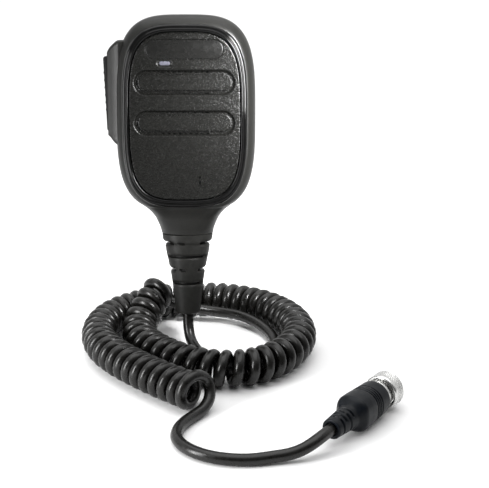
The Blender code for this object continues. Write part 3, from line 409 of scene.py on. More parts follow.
def piece(name, bm, mat, stands_for=(), body="microphone", place=MIC, sharp=40.0):
    """A visible piece from a bmesh in millimetres, in the frame of place."""
    bmesh.ops.recalc_face_normals(bm, faces=bm.faces)
    bmesh.ops.transform(bm, matrix=Matrix.Scale(MM, 4) @ place, verts=bm.verts)
    mesh = bpy.data.meshes.new(name)
    bm.to_mesh(mesh)
    bm.free()
    mesh.materials.append(mat)
    mesh.shade_smooth()
    mesh.set_sharp_from_angle(angle=math.radians(sharp))
    obj = new_object(name, mesh)
    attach(obj, body)
    if stands_for:
        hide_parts(*stands_for)
    return obj


# Materials. Texture scales are per metre, because the texture coordinates are metres.


def fill_ramp(ramp, stops):
    """Gives a colour ramp its stops of (position, colour or grey level)."""
    while len(ramp.elements) < len(stops):
        ramp.elements.new(0.5)
    for element, (position, level) in zip(ramp.elements, stops):
        element.position = position
        element.color = (*level, 1.0) if isinstance(level, tuple) else (level, level, level, 1.0)


class Skin:
    """A Principled material with helpers for its procedural detail."""

    def __init__(self, name, colour, roughness, metallic=0.0, specular=0.5):
        self.mat = bpy.data.materials.new(name)
        self.mat.use_nodes = True
        self.tree = self.mat.node_tree
        self.shader = self.tree.nodes["Principled BSDF"]
        self.shader.inputs["Metallic"].default_value = metallic
        self.shader.inputs["Roughness"].default_value = roughness
        self.shader.inputs["Specular IOR Level"].default_value = specular
        self.shader.inputs["Base Color"].default_value = (*colour, 1.0)
        self.colour = colour
        self.roughness = roughness
        self.place = self.node("ShaderNodeTexCoord").outputs["Object"]
        self.normal = None

    def node(self, kind, **values):
        made = self.tree.nodes.new(kind)
        for name, value in values.items():
            setattr(made, name, value)
        return made

    def link(self, start, end):
        self.tree.links.new(start, end)

    def noise(self, scale, detail=3.0, roughness=0.5):
        texture = self.node("ShaderNodeTexNoise")
        texture.inputs["Scale"].default_value = scale
        texture.inputs["Detail"].default_value = detail
        texture.inputs["Roughness"].default_value = roughness
        self.link(self.place, texture.inputs["Vector"])
        return texture.outputs["Fac"]

    def pebbles(self, scale):
        texture = self.node("ShaderNodeTexVoronoi", feature="SMOOTH_F1")
        texture.inputs["Scale"].default_value = scale
        self.link(self.place, texture.inputs["Vector"])
        return texture.outputs["Distance"]

    def ramp(self, value, stops):
        made = self.node("ShaderNodeValToRGB")
        fill_ramp(made.color_ramp, stops)
        self.link(value, made.inputs["Fac"])
        return made.outputs["Color"]

    def bump(self, value, strength, depth):
        """Bump of a depth in millimetres, on top of any that is already there."""
        made = self.node("ShaderNodeBump")
        made.inputs["Strength"].default_value = strength
        made.inputs["Distance"].default_value = depth * MM
        self.link(value, made.inputs["Height"])
        if self.normal:
            self.link(self.normal, made.inputs["Normal"])
        self.normal = made.outputs["Normal"]
        self.link(self.normal, self.shader.inputs["Normal"])
        return self

    def mottle(self, scale, low, high, detail=3.0):
        """Colour that varies between low and high times the material's own."""
        shades = [tuple(c * share for c in self.colour) for share in (low, high)]
        shade = self.ramp(self.noise(scale, detail), [(0.35, shades[0]), (0.65, shades[1])])
        self.link(shade, self.shader.inputs["Base Color"])
        return self

    def uneven(self, scale, spread, detail=4.0):
        """Roughness that varies by plus and minus spread."""
        level = self.ramp(self.noise(scale, detail),
                          [(0.3, max(self.roughness - spread, 0.02)), (0.7, self.roughness + spread)])
        self.link(level, self.shader.inputs["Roughness"])
        return self

    def lighter_edges(self, lighter, low=0.52, high=0.60):
        """Colour lighter on sharp outward edges, from the surface's pointiness."""
        edge = self.node("ShaderNodeNewGeometry").outputs["Pointiness"]
        amount = self.ramp(edge, [(low, 0.0), (high, 1.0)])
        mix = self.node("ShaderNodeMix", data_type="RGBA")
        base = self.shader.inputs["Base Color"]
        if base.is_linked:
            self.link(base.links[0].from_socket, mix.inputs[6])
        else:
            mix.inputs[6].default_value = base.default_value
        mix.inputs[7].default_value = (*lighter, 1.0)
        self.link(amount, mix.inputs["Factor"])
        self.link(mix.outputs[2], base)
        return self


def shell_plastic(name):
    """Black moulded plastic with a fine spark-eroded texture."""
    skin = Skin(name, (0.0046, 0.0046, 0.0041), 0.36, specular=0.23)
    skin.mottle(900.0, 0.85, 1.15).uneven(500.0, 0.05)
    skin.bump(skin.noise(4200.0, 3.0, 0.6), 0.45, 0.05)
    return skin.lighter_edges((0.018, 0.018, 0.017)).mat


def gloss_plastic():
    skin = Skin("gloss_plastic", (0.0015, 0.0015, 0.0015), 0.09, specular=0.15)
    skin.mottle(400.0, 0.8, 1.2).uneven(300.0, 0.03)
    skin.bump(skin.noise(260.0, 2.0), 0.04, 0.05)
    return skin.mat


def panel_plastic():
    """Pebble grain: rounded cells with narrow valleys between them."""
    skin = Skin("panel_plastic", (0.0036, 0.0036, 0.0033), 0.26, specular=0.19)
    skin.mottle(700.0, 0.8, 1.2).uneven(900.0, 0.05)
    cells = skin.ramp(skin.pebbles(1850.0), [(0.0, 1.0), (0.5, 0.4), (0.85, 0.0)])
    skin.bump(cells, 0.9, 0.14)
    return skin.mat


def satin_plastic(name, colour, roughness, specular=0.4):
    skin = Skin(name, colour, roughness, specular=specular)
    skin.mottle(800.0, 0.85, 1.15).uneven(600.0, 0.05)
    skin.bump(skin.noise(3200.0, 2.0), 0.15, 0.03)
    return skin.mat


def moulded_rubber(name, colour, roughness, specular=0.3):
    skin = Skin(name, colour, roughness, specular=specular)
    skin.mottle(600.0, 0.8, 1.2).uneven(400.0, 0.08)
    skin.bump(skin.noise(2600.0, 4.0, 0.65), 0.30, 0.05)
    return skin.lighter_edges(tuple(1.9 * c for c in colour)).mat


def cord_rubber(name):
    """Satin polyurethane jacket, with faint handling marks."""
    skin = Skin(name, (0.0038, 0.0036, 0.0031), 0.30, specular=0.37)
    skin.mottle(260.0, 0.75, 1.3, 5.0).uneven(500.0, 0.07, 6.0)
    skin.bump(skin.noise(1500.0, 3.0), 0.14, 0.05)
    return skin.mat


def metal(name, colour, roughness, grain=0.12):
    skin = Skin(name, colour, roughness, 1.0)
    skin.mottle(900.0, 0.9, 1.06, 5.0).uneven(1500.0, 0.06, 6.0)
    skin.bump(skin.noise(4000.0, 3.0), grain, 0.02)
    return skin.mat


def printed_label():
    """Orange film without lettering."""
    skin = Skin("label_film", (0.83, 0.27, 0.03), 0.42)
    skin.mottle(1200.0, 0.9, 1.08).uneven(900.0, 0.05)
    skin.bump(skin.noise(2500.0, 2.0), 0.08, 0.02)
    return skin.mat


def fabric(name, colour):
    skin = Skin(name, colour, 0.9)
    weave = skin.node("ShaderNodeTexWave", wave_type="BANDS", bands_direction="DIAGONAL")
    weave.inputs["Scale"].default_value = 1400.0
    skin.link(skin.place, weave.inputs["Vector"])
    skin.bump(weave.outputs["Fac"], 0.6, 0.1)
    skin.mottle(2500.0, 0.7, 1.3)
    return skin.mat


def board_mask():
    """Green solder mask with faint track lines under it."""
    skin = Skin("board_mask", (0.02, 0.15, 0.06), 0.32)
    brick = skin.node("ShaderNodeTexBrick")
    brick.inputs["Scale"].default_value = 260.0
    brick.inputs["Color1"].default_value = (0.02, 0.15, 0.06, 1.0)
    brick.inputs["Color2"].default_value = (0.03, 0.20, 0.08, 1.0)
    brick.inputs["Mortar"].default_value = (0.05, 0.26, 0.11, 1.0)
    skin.link(skin.place, brick.inputs["Vector"])
    skin.link(brick.outputs["Color"], skin.shader.inputs["Base Color"])
    skin.bump(brick.outputs["Fac"], 0.3, 0.03)
    return skin.mat


# Outlines and lofts, in millimetres.


def superellipse(half_width, half_height, centre=0.0, squareness=3.5, count=160):
    power = 2.0 / squareness
    points = []
    for i in range(count):
        angle = 2 * math.pi * i / count
        cos = math.cos(angle)
        sin = math.sin(angle)
        x = half_width * math.copysign(abs(cos) ** power, cos)
        z = half_height * math.copysign(abs(sin) ** power, sin)
        points.append((x, centre + z))
    return points


def pill(half_length, half_height, x=0.0, z=0.0, steps=20):
    points = []
    for side, first in ((1, -90), (-1, 90)):
        for i in range(steps + 1):
            angle = math.radians(first + 180 * i / steps)
            points.append((x + side * (half_length - half_height) + half_height * math.cos(angle),
                           z + half_height * math.sin(angle)))
    return points


def rounded_rectangle(half_width, half_height, radius, steps=8):
    points = []
    for corner, (sx, sz) in enumerate(((1, 1), (-1, 1), (-1, -1), (1, -1))):
        for i in range(steps + 1):
            angle = math.radians(90 * corner + 90 * i / steps)
            points.append((sx * (half_width - radius) + radius * math.cos(angle),
                           sz * (half_height - radius) + radius * math.sin(angle)))
    return points


def depth_ring(outline, y):
    return [(x, y, z) for x, z in outline]


def loft(rings, closed=False):
    bm = bmesh.new()
    loops = [[bm.verts.new(point) for point in ring] for ring in rings]
    count = len(loops[0])
    pairs = list(zip(loops, loops[1:]))
    if closed:
        pairs.append((loops[-1], loops[0]))
    for first, second in pairs:
        for i in range(count):
            j = (i + 1) % count
            bm.faces.new((first[i], first[j], second[j], second[i]))
    if not closed:
        bm.faces.new(list(reversed(loops[0])))
        bm.faces.new(loops[-1])
    return bm


def eased(sections, steps=5):
    """Catmull-Rom sections between the given ones."""
    rows = [tuple(2 * a - b for a, b in zip(sections[0], sections[1]))] + list(sections)
    rows.append(tuple(2 * a - b for a, b in zip(sections[-1], sections[-2])))
    made = []
    for p, q, r, s in zip(rows, rows[1:], rows[2:], rows[3:]):
        for step in range(steps):
            made.append(tuple(curve_value(*values, step / steps) for values in zip(p, q, r, s)))
    made.append(rows[-2])
    return made


def case_rings(sections):
    """Rings of the case from sections of (y, half width, half height, centre z)."""
    return [depth_ring(superellipse(*section), y) for y, *section in sections]


def combined(base, steps):
    """The bmesh left after exact Booleans: steps are (operation, bmesh)."""
    objects = []
    for bm in [base] + [other for operation, other in steps]:
        bmesh.ops.recalc_face_normals(bm, faces=bm.faces)
        mesh = bpy.data.meshes.new("temporary")
        bm.to_mesh(mesh)
        bm.free()
        objects.append(new_object("temporary", mesh))
    for (operation, other), cutter in zip(steps, objects[1:]):
        modifier = objects[0].modifiers.new("cut", "BOOLEAN")
        modifier.object = cutter
        modifier.operation = operation
        modifier.solver = "EXACT"
    bpy.context.view_layer.update()
    evaluated = objects[0].evaluated_get(bpy.context.evaluated_depsgraph_get())
    mesh = bpy.data.meshes.new_from_object(evaluated)
    result = bmesh.new()
    result.from_mesh(mesh)
    bmesh.ops.dissolve_degenerate(result, dist=0.001, edges=result.edges)
    bpy.data.meshes.remove(mesh)
    for obj in objects:
        bpy.data.objects.remove(obj, do_unlink=True)
    return result


def cut(base, *cutters):
    """The bmesh left when every cutter is taken away."""
    return combined(base, [("DIFFERENCE", cutter) for cutter in cutters])


def box_bmesh(low, high):
    low = Vector(low)
    high = Vector(high)
    bm = bmesh.new()
    place = Matrix.Translation((low + high) / 2) @ Matrix.Diagonal((*(high - low), 1.0))
    bmesh.ops.create_cube(bm, size=1.0, matrix=place)
    return bm


def ramp_step(value, low, high):
    """0 below low, 1 above high, smooth between."""
    t = min(max((value - low) / (high - low), 0.0), 1.0)
    return t * t * (3 - 2 * t)


def slab(outline, steps):
    """A plate with shaped edges: steps are (y, growth of the outline)."""
    return loft([depth_ring(outline(grow), y) for y, grow in steps])


def pill_slab(half_length, half_height, place, rows, steps=20):
    """A pill-shaped plate at place (x, z) with shaped edges: rows are (y, growth of the outline)."""
    rings = []
    for y, grow in rows:
        rings.append(depth_ring(pill(half_length + grow, half_height + grow, *place, steps), y))
    return loft(rings)


def cylinder(radius, start, end, sides=48):
    start = Vector(start)
    end = Vector(end)
    axis = end - start
    bm = bmesh.new()
    turn = axis.to_track_quat("Z", "Y").to_matrix().to_4x4()
    bmesh.ops.create_cone(
        bm, cap_ends=True, segments=sides, radius1=radius, radius2=radius,
        depth=axis.length, matrix=Matrix.Translation((start + end) / 2) @ turn)
    return bm


def merged(parts):
    """One bmesh that holds several separate ones."""
    whole = bmesh.new()
    for part in parts:
        mesh = bpy.data.meshes.new("temporary")
        part.to_mesh(mesh)
        part.free()
        whole.from_mesh(mesh)
        bpy.data.meshes.remove(mesh)
    return whole


def circle(radius, t, count=128):
    steps = [2 * math.pi * i / count for i in range(count)]
    return [(radius * math.cos(angle), radius * math.sin(angle), t) for angle in steps]


def spread(low, high, spacing):
    count = max(1, round(abs(high - low) / spacing))
    return [low + (high - low) * i / count for i in range(count + 1)]


def row_at(rows, place):
    """The row of a table whose first entries ascend or descend, interpolated at a place."""
    for first, second in zip(rows, rows[1:]):
        low, high = sorted((first[0], second[0]))
        if low <= place <= high:
            share = (place - first[0]) / (second[0] - first[0])
            return [a + (b - a) * share for a, b in zip(first, second)]
    nearest = min(rows, key=lambda row: abs(row[0] - place))
    return list(nearest)


# The case.


def screw_places():
    return [(side * SCREW_X, z) for z in SCREW_Z for side in (-1, 1)]


def screw_cylinders(radius, front, back):
    """A cylinder from front to back at every case screw."""
    return [cylinder(radius, (x, front, z), (x, back, z)) for x, z in screw_places()]


def ptt_opening():
    return box_bmesh((-42.0, -38.6, -13.7), (-24.0, -23.2, 35.5))


def make_front_shell(mat):
    """Front half: a rounded rim, a web behind the panel, and four screw posts."""
    outer = list(reversed(FRONT_PROFILE))
    shell = loft(case_rings(list(reversed(FRONT_INSIDE)) + outer))
    posts = screw_cylinders(POST_R, -41.0, -30.0)
    holes = screw_cylinders(PILOT_R, -39.4, -29.0)
    speaker = cylinder(SPEAKER_R - 2.0, (0.0, -44.0, SPEAKER_Z), (0.0, -39.0, SPEAKER_Z), 96)
    port = cylinder(1.2, (MIC_PORT[0], -44.0, MIC_PORT[1]), (MIC_PORT[0], -39.0, MIC_PORT[1]))
    light = pill_slab(2.9, 1.25, LED, [(-44.0, 0.0), (-39.0, 0.0)])
    bm = combined(shell, [("UNION", merged(posts)), ("DIFFERENCE", merged(holes)),
                          ("DIFFERENCE", merged([speaker, port, light])), ("DIFFERENCE", ptt_opening())])
    piece("case_front_shell", bm, mat, ["front_case"], sharp=32.0)


def rear_plate_outline(grow=0.0):
    """Straight sides and bottom with an arched top and rounded lower corners."""
    half_width, bottom, top, crown = PLATE
    corner = 1.6
    points = []
    for side, first in ((-1, 180), (1, 270)):
        for i in range(7):
            angle = math.radians(first + 90 * i / 6)
            points.append((side * (half_width - corner) + (corner + grow) * math.cos(angle),
                           bottom + corner + (corner + grow) * math.sin(angle)))
    steps = 36
    for i in range(steps + 1):
        share = 1 - 2 * i / steps
        points.append(((half_width + grow) * share, top + grow + (crown - top) * (1 - share ** 2)))
    return points


def neck_bmesh():
    """Neck that flows out of the case's lower end: flat and wide above, round below."""
    rings = []
    rows = eased(NECK_SHAPE, 4)
    count = 120
    for z, half_width, front, back, squareness in rows:
        centre = (front + back) / 2
        half_depth = (back - front) / 2
        outline = superellipse(half_width, half_depth, centre, squareness, count)
        rings.append([(x, y, z) for x, y in outline])
    return loft(rings)


def make_rear_shell(mat):
    """Rear half: stepped rim, dished slope, platform with its ridge and recesses, and the neck."""
    outside = case_rings(REAR_RIM + eased(REAR_PROFILE, 4)[1:] + REAR_PLATFORM_EDGE)
    shell = loft(list(reversed(case_rings(REAR_INSIDE))) + outside)
    neck = cut(neck_bmesh(), loft(case_rings(NECK_CLEARANCE)))
    ridge = pill_slab(*RIDGE, RIDGE_STEPS, 24)
    bosses = screw_cylinders(BOSS_R, -27.8, -12.0)
    counterbores = screw_cylinders(COUNTERBORE_R, -15.3, -9.0)
    screw_holes = screw_cylinders(SCREW_HOLE_R, -29.0, -14.3)
    bore = cylinder(NECK_BORE_R, (0.0, BOOT_Y, -60.0), (0.0, BOOT_Y, -36.0))
    recess = slab(rear_plate_outline, [(-12.3, 0.25), (-11.2, 0.3), (-10.9, 0.9), (-9.0, 0.9)])
    half_width, half_height, z = LABEL
    label = box_bmesh((-half_width - 0.3, PLATFORM_Y - 0.3, z - half_height - 0.3),
                      (half_width + 0.3, PLATFORM_Y + 2.0, z + half_height + 0.3))
    bm = combined(shell, [
        ("UNION", neck), ("UNION", ridge), ("UNION", merged(bosses)), ("DIFFERENCE", bore),
        ("DIFFERENCE", recess), ("DIFFERENCE", label), ("DIFFERENCE", merged(counterbores)),
        ("DIFFERENCE", merged(screw_holes)), ("DIFFERENCE", ptt_opening())])
    piece("case_rear_shell", bm, mat, ["rear_shell"], sharp=34.0)


def make_rear_fittings(plate_mat, label_mat):
    front, back = PLATE_Y
    plate = slab(rear_plate_outline, [(front, 0.0), (back - 0.3, 0.0), (back - 0.08, -0.1), (back, -0.35)])
    piece("rear_steel_plate", plate, plate_mat, ["rear_plate"])
    half_width, half_height, z = LABEL

    def outline(grow):
        return [(x, y + z) for x, y in rounded_rectangle(half_width + grow, half_height + grow, 0.8)]

    film = slab(outline, [(PLATFORM_Y - 0.1, 0.0), (PLATFORM_Y + 0.08, 0.0), (PLATFORM_Y + 0.12, -0.06)])
    piece("rear_label_film", film, label_mat, ["rear_label"])


def make_bezel(mat):
    """Glossy bead with an inner ridge and a broad outer roll."""
    half_width, half_height, centre = PANEL
    rings = []
    for y, wider, taller in eased(BEZEL_PROFILE, 3):
        outline = superellipse(half_width + wider, half_height + taller, centre, count=240)
        rings.append(depth_ring(outline, y))
    piece("gloss_bezel_bead", loft(rings, closed=True), mat, ["gloss_bezel"], sharp=50.0)


def groove(half_length, half_height, z, profile):
    """A ring-shaped cutter: a profile of (distance inwards, depth) swept round a slot's outline."""
    front = PANEL_Y - 1.0
    steps = [(0.0, front)] + [(inwards, PANEL_Y + depth) for inwards, depth in profile]
    steps.append((profile[-1][0], front))
    rings = [depth_ring(pill(half_length - inwards, half_height - inwards, z=z, steps=28), y)
             for inwards, y in steps]
    return loft(rings, closed=True)


def behind_panel(steps):
    """Steps of (depth below the panel's front, growth) as (y, growth)."""
    return [(PANEL_Y + depth, grow) for depth, grow in steps]


def make_front_panel(mat):
    """Panel with two sound slots, the name recess, the light's pocket and the microphone slit."""
    half_width, half_height, centre = PANEL

    def outline(grow):
        return superellipse(half_width + grow, half_height + grow, centre)

    panel = slab(outline, behind_panel(PANEL_EDGE) + [(PANEL_BACK_Y, 0.0)])
    cutters = [groove(*SLOT_OUTER, z, SLOT_PROFILE) for z in SLOT_Z]
    length, height, z = NAME_PLATE
    through = [(PANEL_Y - 1.0, 0.0), (PANEL_BACK_Y + 1.0, 0.0)]
    cutters.append(pill_slab(length, height, (0.0, z), behind_panel(NAME_RECESS_EDGE), 28))
    cutters.append(pill_slab(*LED_POCKET, LED, behind_panel(LED_POCKET_EDGE)))
    cutters.append(pill_slab(*LED_HOLE, LED, through))
    x, z = MIC_PORT
    slit = [(x + across, z + along) for along, across in pill(2.2, 0.36)]
    cutters.append(loft([depth_ring(slit, y) for y, grow in through]))
    vents = []
    middle = (SLOT_OUTER[1] + SLOT_INNER[1]) / 2
    for level in SLOT_Z:
        for side in (-1, 1):
            for step in range(-4, 5):
                vents.append(box_bmesh((2.6 * step - 0.9, PANEL_Y + 0.9, level + side * middle - 0.3),
                                       (2.6 * step + 0.9, PANEL_BACK_Y + 1.0, level + side * middle + 0.3)))
    bm = cut(panel, *cutters, merged(vents))
    piece("front_grain_panel", bm, mat, ["front_panel"], sharp=16.0)


def make_panel_fittings(plate_mat, lens_mat):
    length, height, z = NAME_PLATE
    plate = pill_slab(length, height, (0.0, z), behind_panel(NAME_PLATE_EDGE), 28)
    piece("blank_name_plate", plate, plate_mat, ["name_plate"], sharp=50.0)
    lens = pill_slab(*LED_SIZE, LED, [(LENS_BACK_Y, 0.0)] + behind_panel(LENS_EDGE))
    piece("light_lens", lens, lens_mat, ["led_light_pipe"], sharp=60.0)


# Push-to-talk button and its housing, on the left side.


def side_ring(x, front, back, low, high, corner):
    """A rounded rectangle in the plane of constant x."""
    centre_y = (front + back) / 2
    centre_z = (low + high) / 2
    outline = rounded_rectangle((back - front) / 2, (high - low) / 2, corner)
    return [(x, centre_y + y, centre_z + z) for y, z in outline]


def make_ptt(housing_mat, button_mat):
    rings = [side_ring(*row) for row in eased(PTT_HOUSING_SECTIONS, 4)]
    low_z, high_z = PTT_BUTTON_Z
    window = loft([side_ring(x, -36.1 - grow, -25.7 + grow, low_z - 0.5 - grow, high_z + 0.5 + grow, 1.6)
                   for x, grow in ((-45.0, 0.3), (-37.3, 0.3), (-36.9, 0.0), (-30.2, 0.0))])
    pocket = box_bmesh((-29.0, -36.6, -12.0), (-20.0, -25.0, 28.5))
    nub_hole = box_bmesh((-31.0, -33.6, 22.0), (-28.0, -29.4, 26.0))
    bm = cut(loft(rings), window, pocket, nub_hole)
    piece("ptt_side_housing", bm, housing_mat, ["ptt_housing"], sharp=35.0)

    low_y, high_y = PTT_BUTTON_Y
    rows = []
    for z in spread(low_z, high_z, 0.22):
        reach = row_at(PTT_BUTTON_REACH, z)[1]
        end = min(z - low_z, high_z - z)
        away = 1 - min(end / PTT_END_ROUND, 1.0)
        reach -= PTT_END_ROUND * (1 - math.sqrt(max(0.0, 1 - away ** 2)))
        for rib in PTT_RIBS:
            reach += 0.22 * math.exp(-((z - rib) / 0.45) ** 2)
        ring = [(PTT_BUTTON_BACK_X, low_y, z)]
        for edge, inwards, turns in ((low_y, 1, range(9)), (high_y, -1, range(8, -1, -1))):
            for i in turns:
                turn = math.radians(90 * i / 8)
                ring.append((-reach + PTT_CORNER * (1 - math.sin(turn)),
                             edge + inwards * PTT_CORNER * (1 - math.cos(turn)), z))
        ring.append((PTT_BUTTON_BACK_X, high_y, z))
        rows.append(ring)
    button = loft(rows)
    pivot_x, pivot_z = PTT_PIVOT
    nub = box_bmesh((pivot_x + 0.5, -33.2, 22.5), (-30.0, -29.8, 25.5))
    lugs = cylinder(0.9, (pivot_x, low_y - 1.2, pivot_z), (pivot_x, high_y + 1.2, pivot_z), 24)
    bm = combined(button, [("UNION", nub), ("UNION", lugs)])
    piece("ptt_rubber_button", bm, button_mat, ["ptt_button"], body="ptt_button", sharp=45.0)


# Strain relief boot.


def notch(value, centre, half, soft):
    """1 inside centre plus and minus half, falling to 0 over a soft edge."""
    return 1.0 - ramp_step(abs(value - centre), half - soft, half + soft)


def boot_sunk(z, angle):
    """Depth of the boot's slots: pairs at the sides, then front and back, in turn."""
    depth = 0.0
    side = abs(math.cos(angle))
    face = abs(math.sin(angle))
    for number, level in enumerate(BOOT_SLOT_LEVELS):
        tall = notch(z, level, BOOT_SLOT / 2, 0.16)
        rounded = 0.5 * notch(z, level, BOOT_SLOT / 2 + 0.5, 0.5)
        if number % 2 == 0:
            wide = ramp_step(side, 0.60, 0.72)
            window = notch(math.cos(angle), -0.25, 0.16, 0.04)
            depth = max(depth, (2.5 * tall) * wide, rounded * wide, 1.3 * tall * window)
        else:
            wide = ramp_step(face, 0.30, 0.44)
            depth = max(depth, 2.3 * tall * wide, 0.5 * rounded * wide)
    return depth


def make_boot(mat):
    top = BOOT_SECTIONS[0][0]
    bottom = BOOT_SECTIONS[-1][0]
    sections = eased(BOOT_SECTIONS, 6)
    stations = spread(top, bottom + 0.5, 0.4)
    for level in BOOT_SLOT_LEVELS:
        for offset in BOOT_SLOT_STATIONS:
            stations += [level - offset, level + offset]
    rings = []
    for z in sorted(set(round(z, 2) for z in stations), reverse=True):
        half_width, half_depth = row_at(sections, z)[1:]
        collar = 0.5 * (1 - ramp_step(top - z, 0.0, 0.5)) ** 2
        ring = []
        for i in range(160):
            angle = 2 * math.pi * i / 160
            share = ((abs(math.cos(angle)) / half_width) ** BOOT_SQUARENESS
                     + (abs(math.sin(angle)) / half_depth) ** BOOT_SQUARENESS)
            reach = share ** (-1 / BOOT_SQUARENESS) - collar - boot_sunk(z, angle)
            ring.append((reach * math.cos(angle), BOOT_Y + reach * math.sin(angle), z))
        rings.append(ring)
    radius = BOOT_SECTIONS[-1][1]
    for reach, z in ((radius - 0.1, bottom + 0.3), (radius - 0.35, bottom + 0.1), (radius - 0.7, bottom),
                     (3.6, bottom), (3.05, bottom + 0.3), (2.9, bottom + 1.4)):
        rings.append([(x, y + BOOT_Y, z) for x, y, z in circle(reach, z, 160)])
    spigot = cylinder(6.1, (0.0, BOOT_Y, top - 2.0), (0.0, BOOT_Y, -50.0), 96)
    bm = combined(loft(rings), [("UNION", spigot)])
    piece("strain_relief_boot", bm, mat, ["strain_relief"], sharp=48.0)


# Holder.


def make_holder(body_mat, face_mat):
    half_width, half_height = HOLDER_SIZE
    front, back = HOLDER_BODY_Y

    def outline(grow):
        corner = max(6.0 + 0.4 * grow, 2.0)
        points = rounded_rectangle(half_width + grow, half_height + grow, corner, 12)
        return [(x, z + PAD_Z) for x, z in points]

    bm = slab(outline, [(back + behind, grow) for behind, grow in HOLDER_BACK_EDGE]
              + [(front + behind, grow) for behind, grow in HOLDER_FRONT_EDGE])
    magnet_pocket = cylinder(MAGNET_POCKET_R, (0.0, back - 3.6, PAD_Z), (0.0, back + 1.0, PAD_Z), 96)
    piece("holder_body_shell", cut(bm, magnet_pocket), body_mat, ["holder_body"],
          body="holder", sharp=30.0)

    face_width, face_height = HOLDER_FACE
    face_front, face_back = HOLDER_FACE_Y

    def face_outline(grow):
        points = rounded_rectangle(face_width + grow, face_height + grow, 2.5 + min(grow, 0.0), 8)
        return [(x, z + PAD_Z) for x, z in points]

    face = slab(face_outline, [(face_back, 0.0)]
                + [(face_front + behind, grow) for behind, grow in HOLDER_FACE_EDGE])
    pockets = []
    for sx in (-1, 1):
        for sz in (-1, 1):
            right, top = face_width - 2.2, face_height - 2.2
            corner = [(right, 3.4), (right, top), (4.0, top)]
            inner = [(1.6, 1.6), (face_width - 5.6, 1.6), (1.6, face_height - 5.6)]
            for triangle in (corner, inner):
                middle = (sum(x for x, z in triangle) / 3, sum(z for x, z in triangle) / 3)
                rings = []
                for behind, share in HOLDER_POCKET_STEPS:
                    rings.append([(sx * (middle[0] + share * (x - middle[0])), face_front + behind,
                                   PAD_Z + sz * (middle[1] + share * (z - middle[1])))
                                  for x, z in triangle])
                pockets.append(loft(rings))
    piece("holder_face_pad", cut(face, merged(pockets)), face_mat, ["holder_face"],
          body="holder", sharp=30.0)


# Plug.


def plug_frame():
    turn = plug_heading().to_track_quat("Z", "Y").to_matrix().to_4x4()
    return Matrix.Translation(on_table([PLUG_START])[0]) @ turn


def plug_reach(t, angle):
    """Distance of the overmoulding's surface from its axis."""
    radius, squareness = row_at(PLUG_BODY, t)[1:]
    share = abs(math.cos(angle)) ** squareness + abs(math.sin(angle)) ** squareness
    depth = 0.0
    for centre in PLUG_GROOVES:
        depth = max(depth, 0.5 * notch(t, centre, 0.38, 0.16))
    for number, centre in enumerate(PLUG_RELIEF_SLOTS):
        away = abs(math.cos(angle)) if number % 2 == 0 else abs(math.sin(angle))
        depth = max(depth, 0.85 * notch(t, centre, 0.45, 0.14) * ramp_step(away, 0.42, 0.55))
    for centre in PLUG_WINDOWS:
        depth = max(depth, 1.0 * notch(t, centre, 0.55, 0.14) * notch(angle, math.pi / 2, 0.24, 0.06))
    return radius * share ** (-1 / squareness) - depth


def polar_ring(reach, t, count=128):
    """A ring at t, at the distance reach(angle) from the axis."""
    ring = []
    for i in range(count):
        angle = 2 * math.pi * i / count
        ring.append((reach(angle) * math.cos(angle), reach(angle) * math.sin(angle), t))
    return ring


def knurl(angle, t):
    """Diamond knurl: 0 on the diamonds' tops and 1 in the crossing grooves."""
    turns = KNURL_COUNT * angle / (2 * math.pi)
    rise = t / KNURL_PITCH
    one = abs((turns + rise) % 1.0 - 0.5) * 2
    other = abs((turns - rise) % 1.0 - 0.5) * 2
    return 1.0 - min(min(one, other) * 1.6, 1.0)


def make_overmould(mat):
    """Relief with its slots, concave shoulder, squarish body and grooved round front."""
    stations = spread(0.4, 36.2, 0.3)
    for centre in PLUG_GROOVES:
        stations += [centre + offset for offset in (-0.5, -0.34, -0.18, 0.18, 0.34, 0.5)]
    rings = [circle(*row) for row in ((2.75, 1.4), (2.9, 0.3), (3.3, 0.0), (4.0, 0.0), (4.3, 0.15))]
    for t in sorted(set(round(t, 3) for t in stations)):
        rings.append(polar_ring(lambda angle: plug_reach(t, angle), t))
    rings += [circle(*row) for row in ((7.6, 36.45), (7.2, 36.6), (5.2, 36.6), (5.1, 36.2))]
    return piece("plug_moulded_body", loft(rings), mat, ["plug_overmould"],
                 place=plug_frame(), sharp=55.0)


def make_plug_metal(mat):
    """Bright sleeve and the knurled nut that turns on it."""
    rings = [circle(radius, t) for radius, t in SLEEVE_PROFILE]
    sleeve = piece("plug_metal_sleeve", loft(rings, closed=True), mat, ["plug_sleeve"],
                   place=plug_frame())
    count = 6 * KNURL_COUNT
    low, high, depth = KNURL
    rings = [circle(radius, t, count) for radius, t in NUT_INSIDE + NUT_FRONT]
    for t in reversed(spread(low, high, 0.2)):
        rings.append(polar_ring(lambda angle: NUT_R - depth * knurl(angle, t), t, count))
    rings += [circle(radius, t, count) for radius, t in NUT_BAND]
    nut = piece("plug_coupling_nut", loft(rings, closed=True), mat, ["plug_nut"],
                body="coupling_nut", place=plug_frame(), sharp=60.0)
    return [sleeve, nut]


def make_insert(mat):
    """Fluted insulator with five contact holes and a key slot."""
    rings = []
    for t, radius, depth in INSERT_ROWS:
        rings.append(polar_ring(lambda angle: radius - depth * (0.5 - 0.5 * math.cos(20 * angle)), t, 180))
    holes = []
    for number in range(5):
        angle = math.radians(90 + 72 * number)
        x = CONTACT_CIRCLE_R * math.cos(angle)
        y = CONTACT_CIRCLE_R * math.sin(angle)
        holes.append(cylinder(0.9, (x, y, 46.0), (x, y, 53.0), 32))
    key = box_bmesh((-0.7, -5.0, 49.0), (0.7, -3.6, 53.0))
    bm = cut(loft(rings), merged(holes), key)
    return piece("plug_fluted_insert", bm, mat, ["plug_insert"], place=plug_frame())


# CAD pieces that keep their shape.


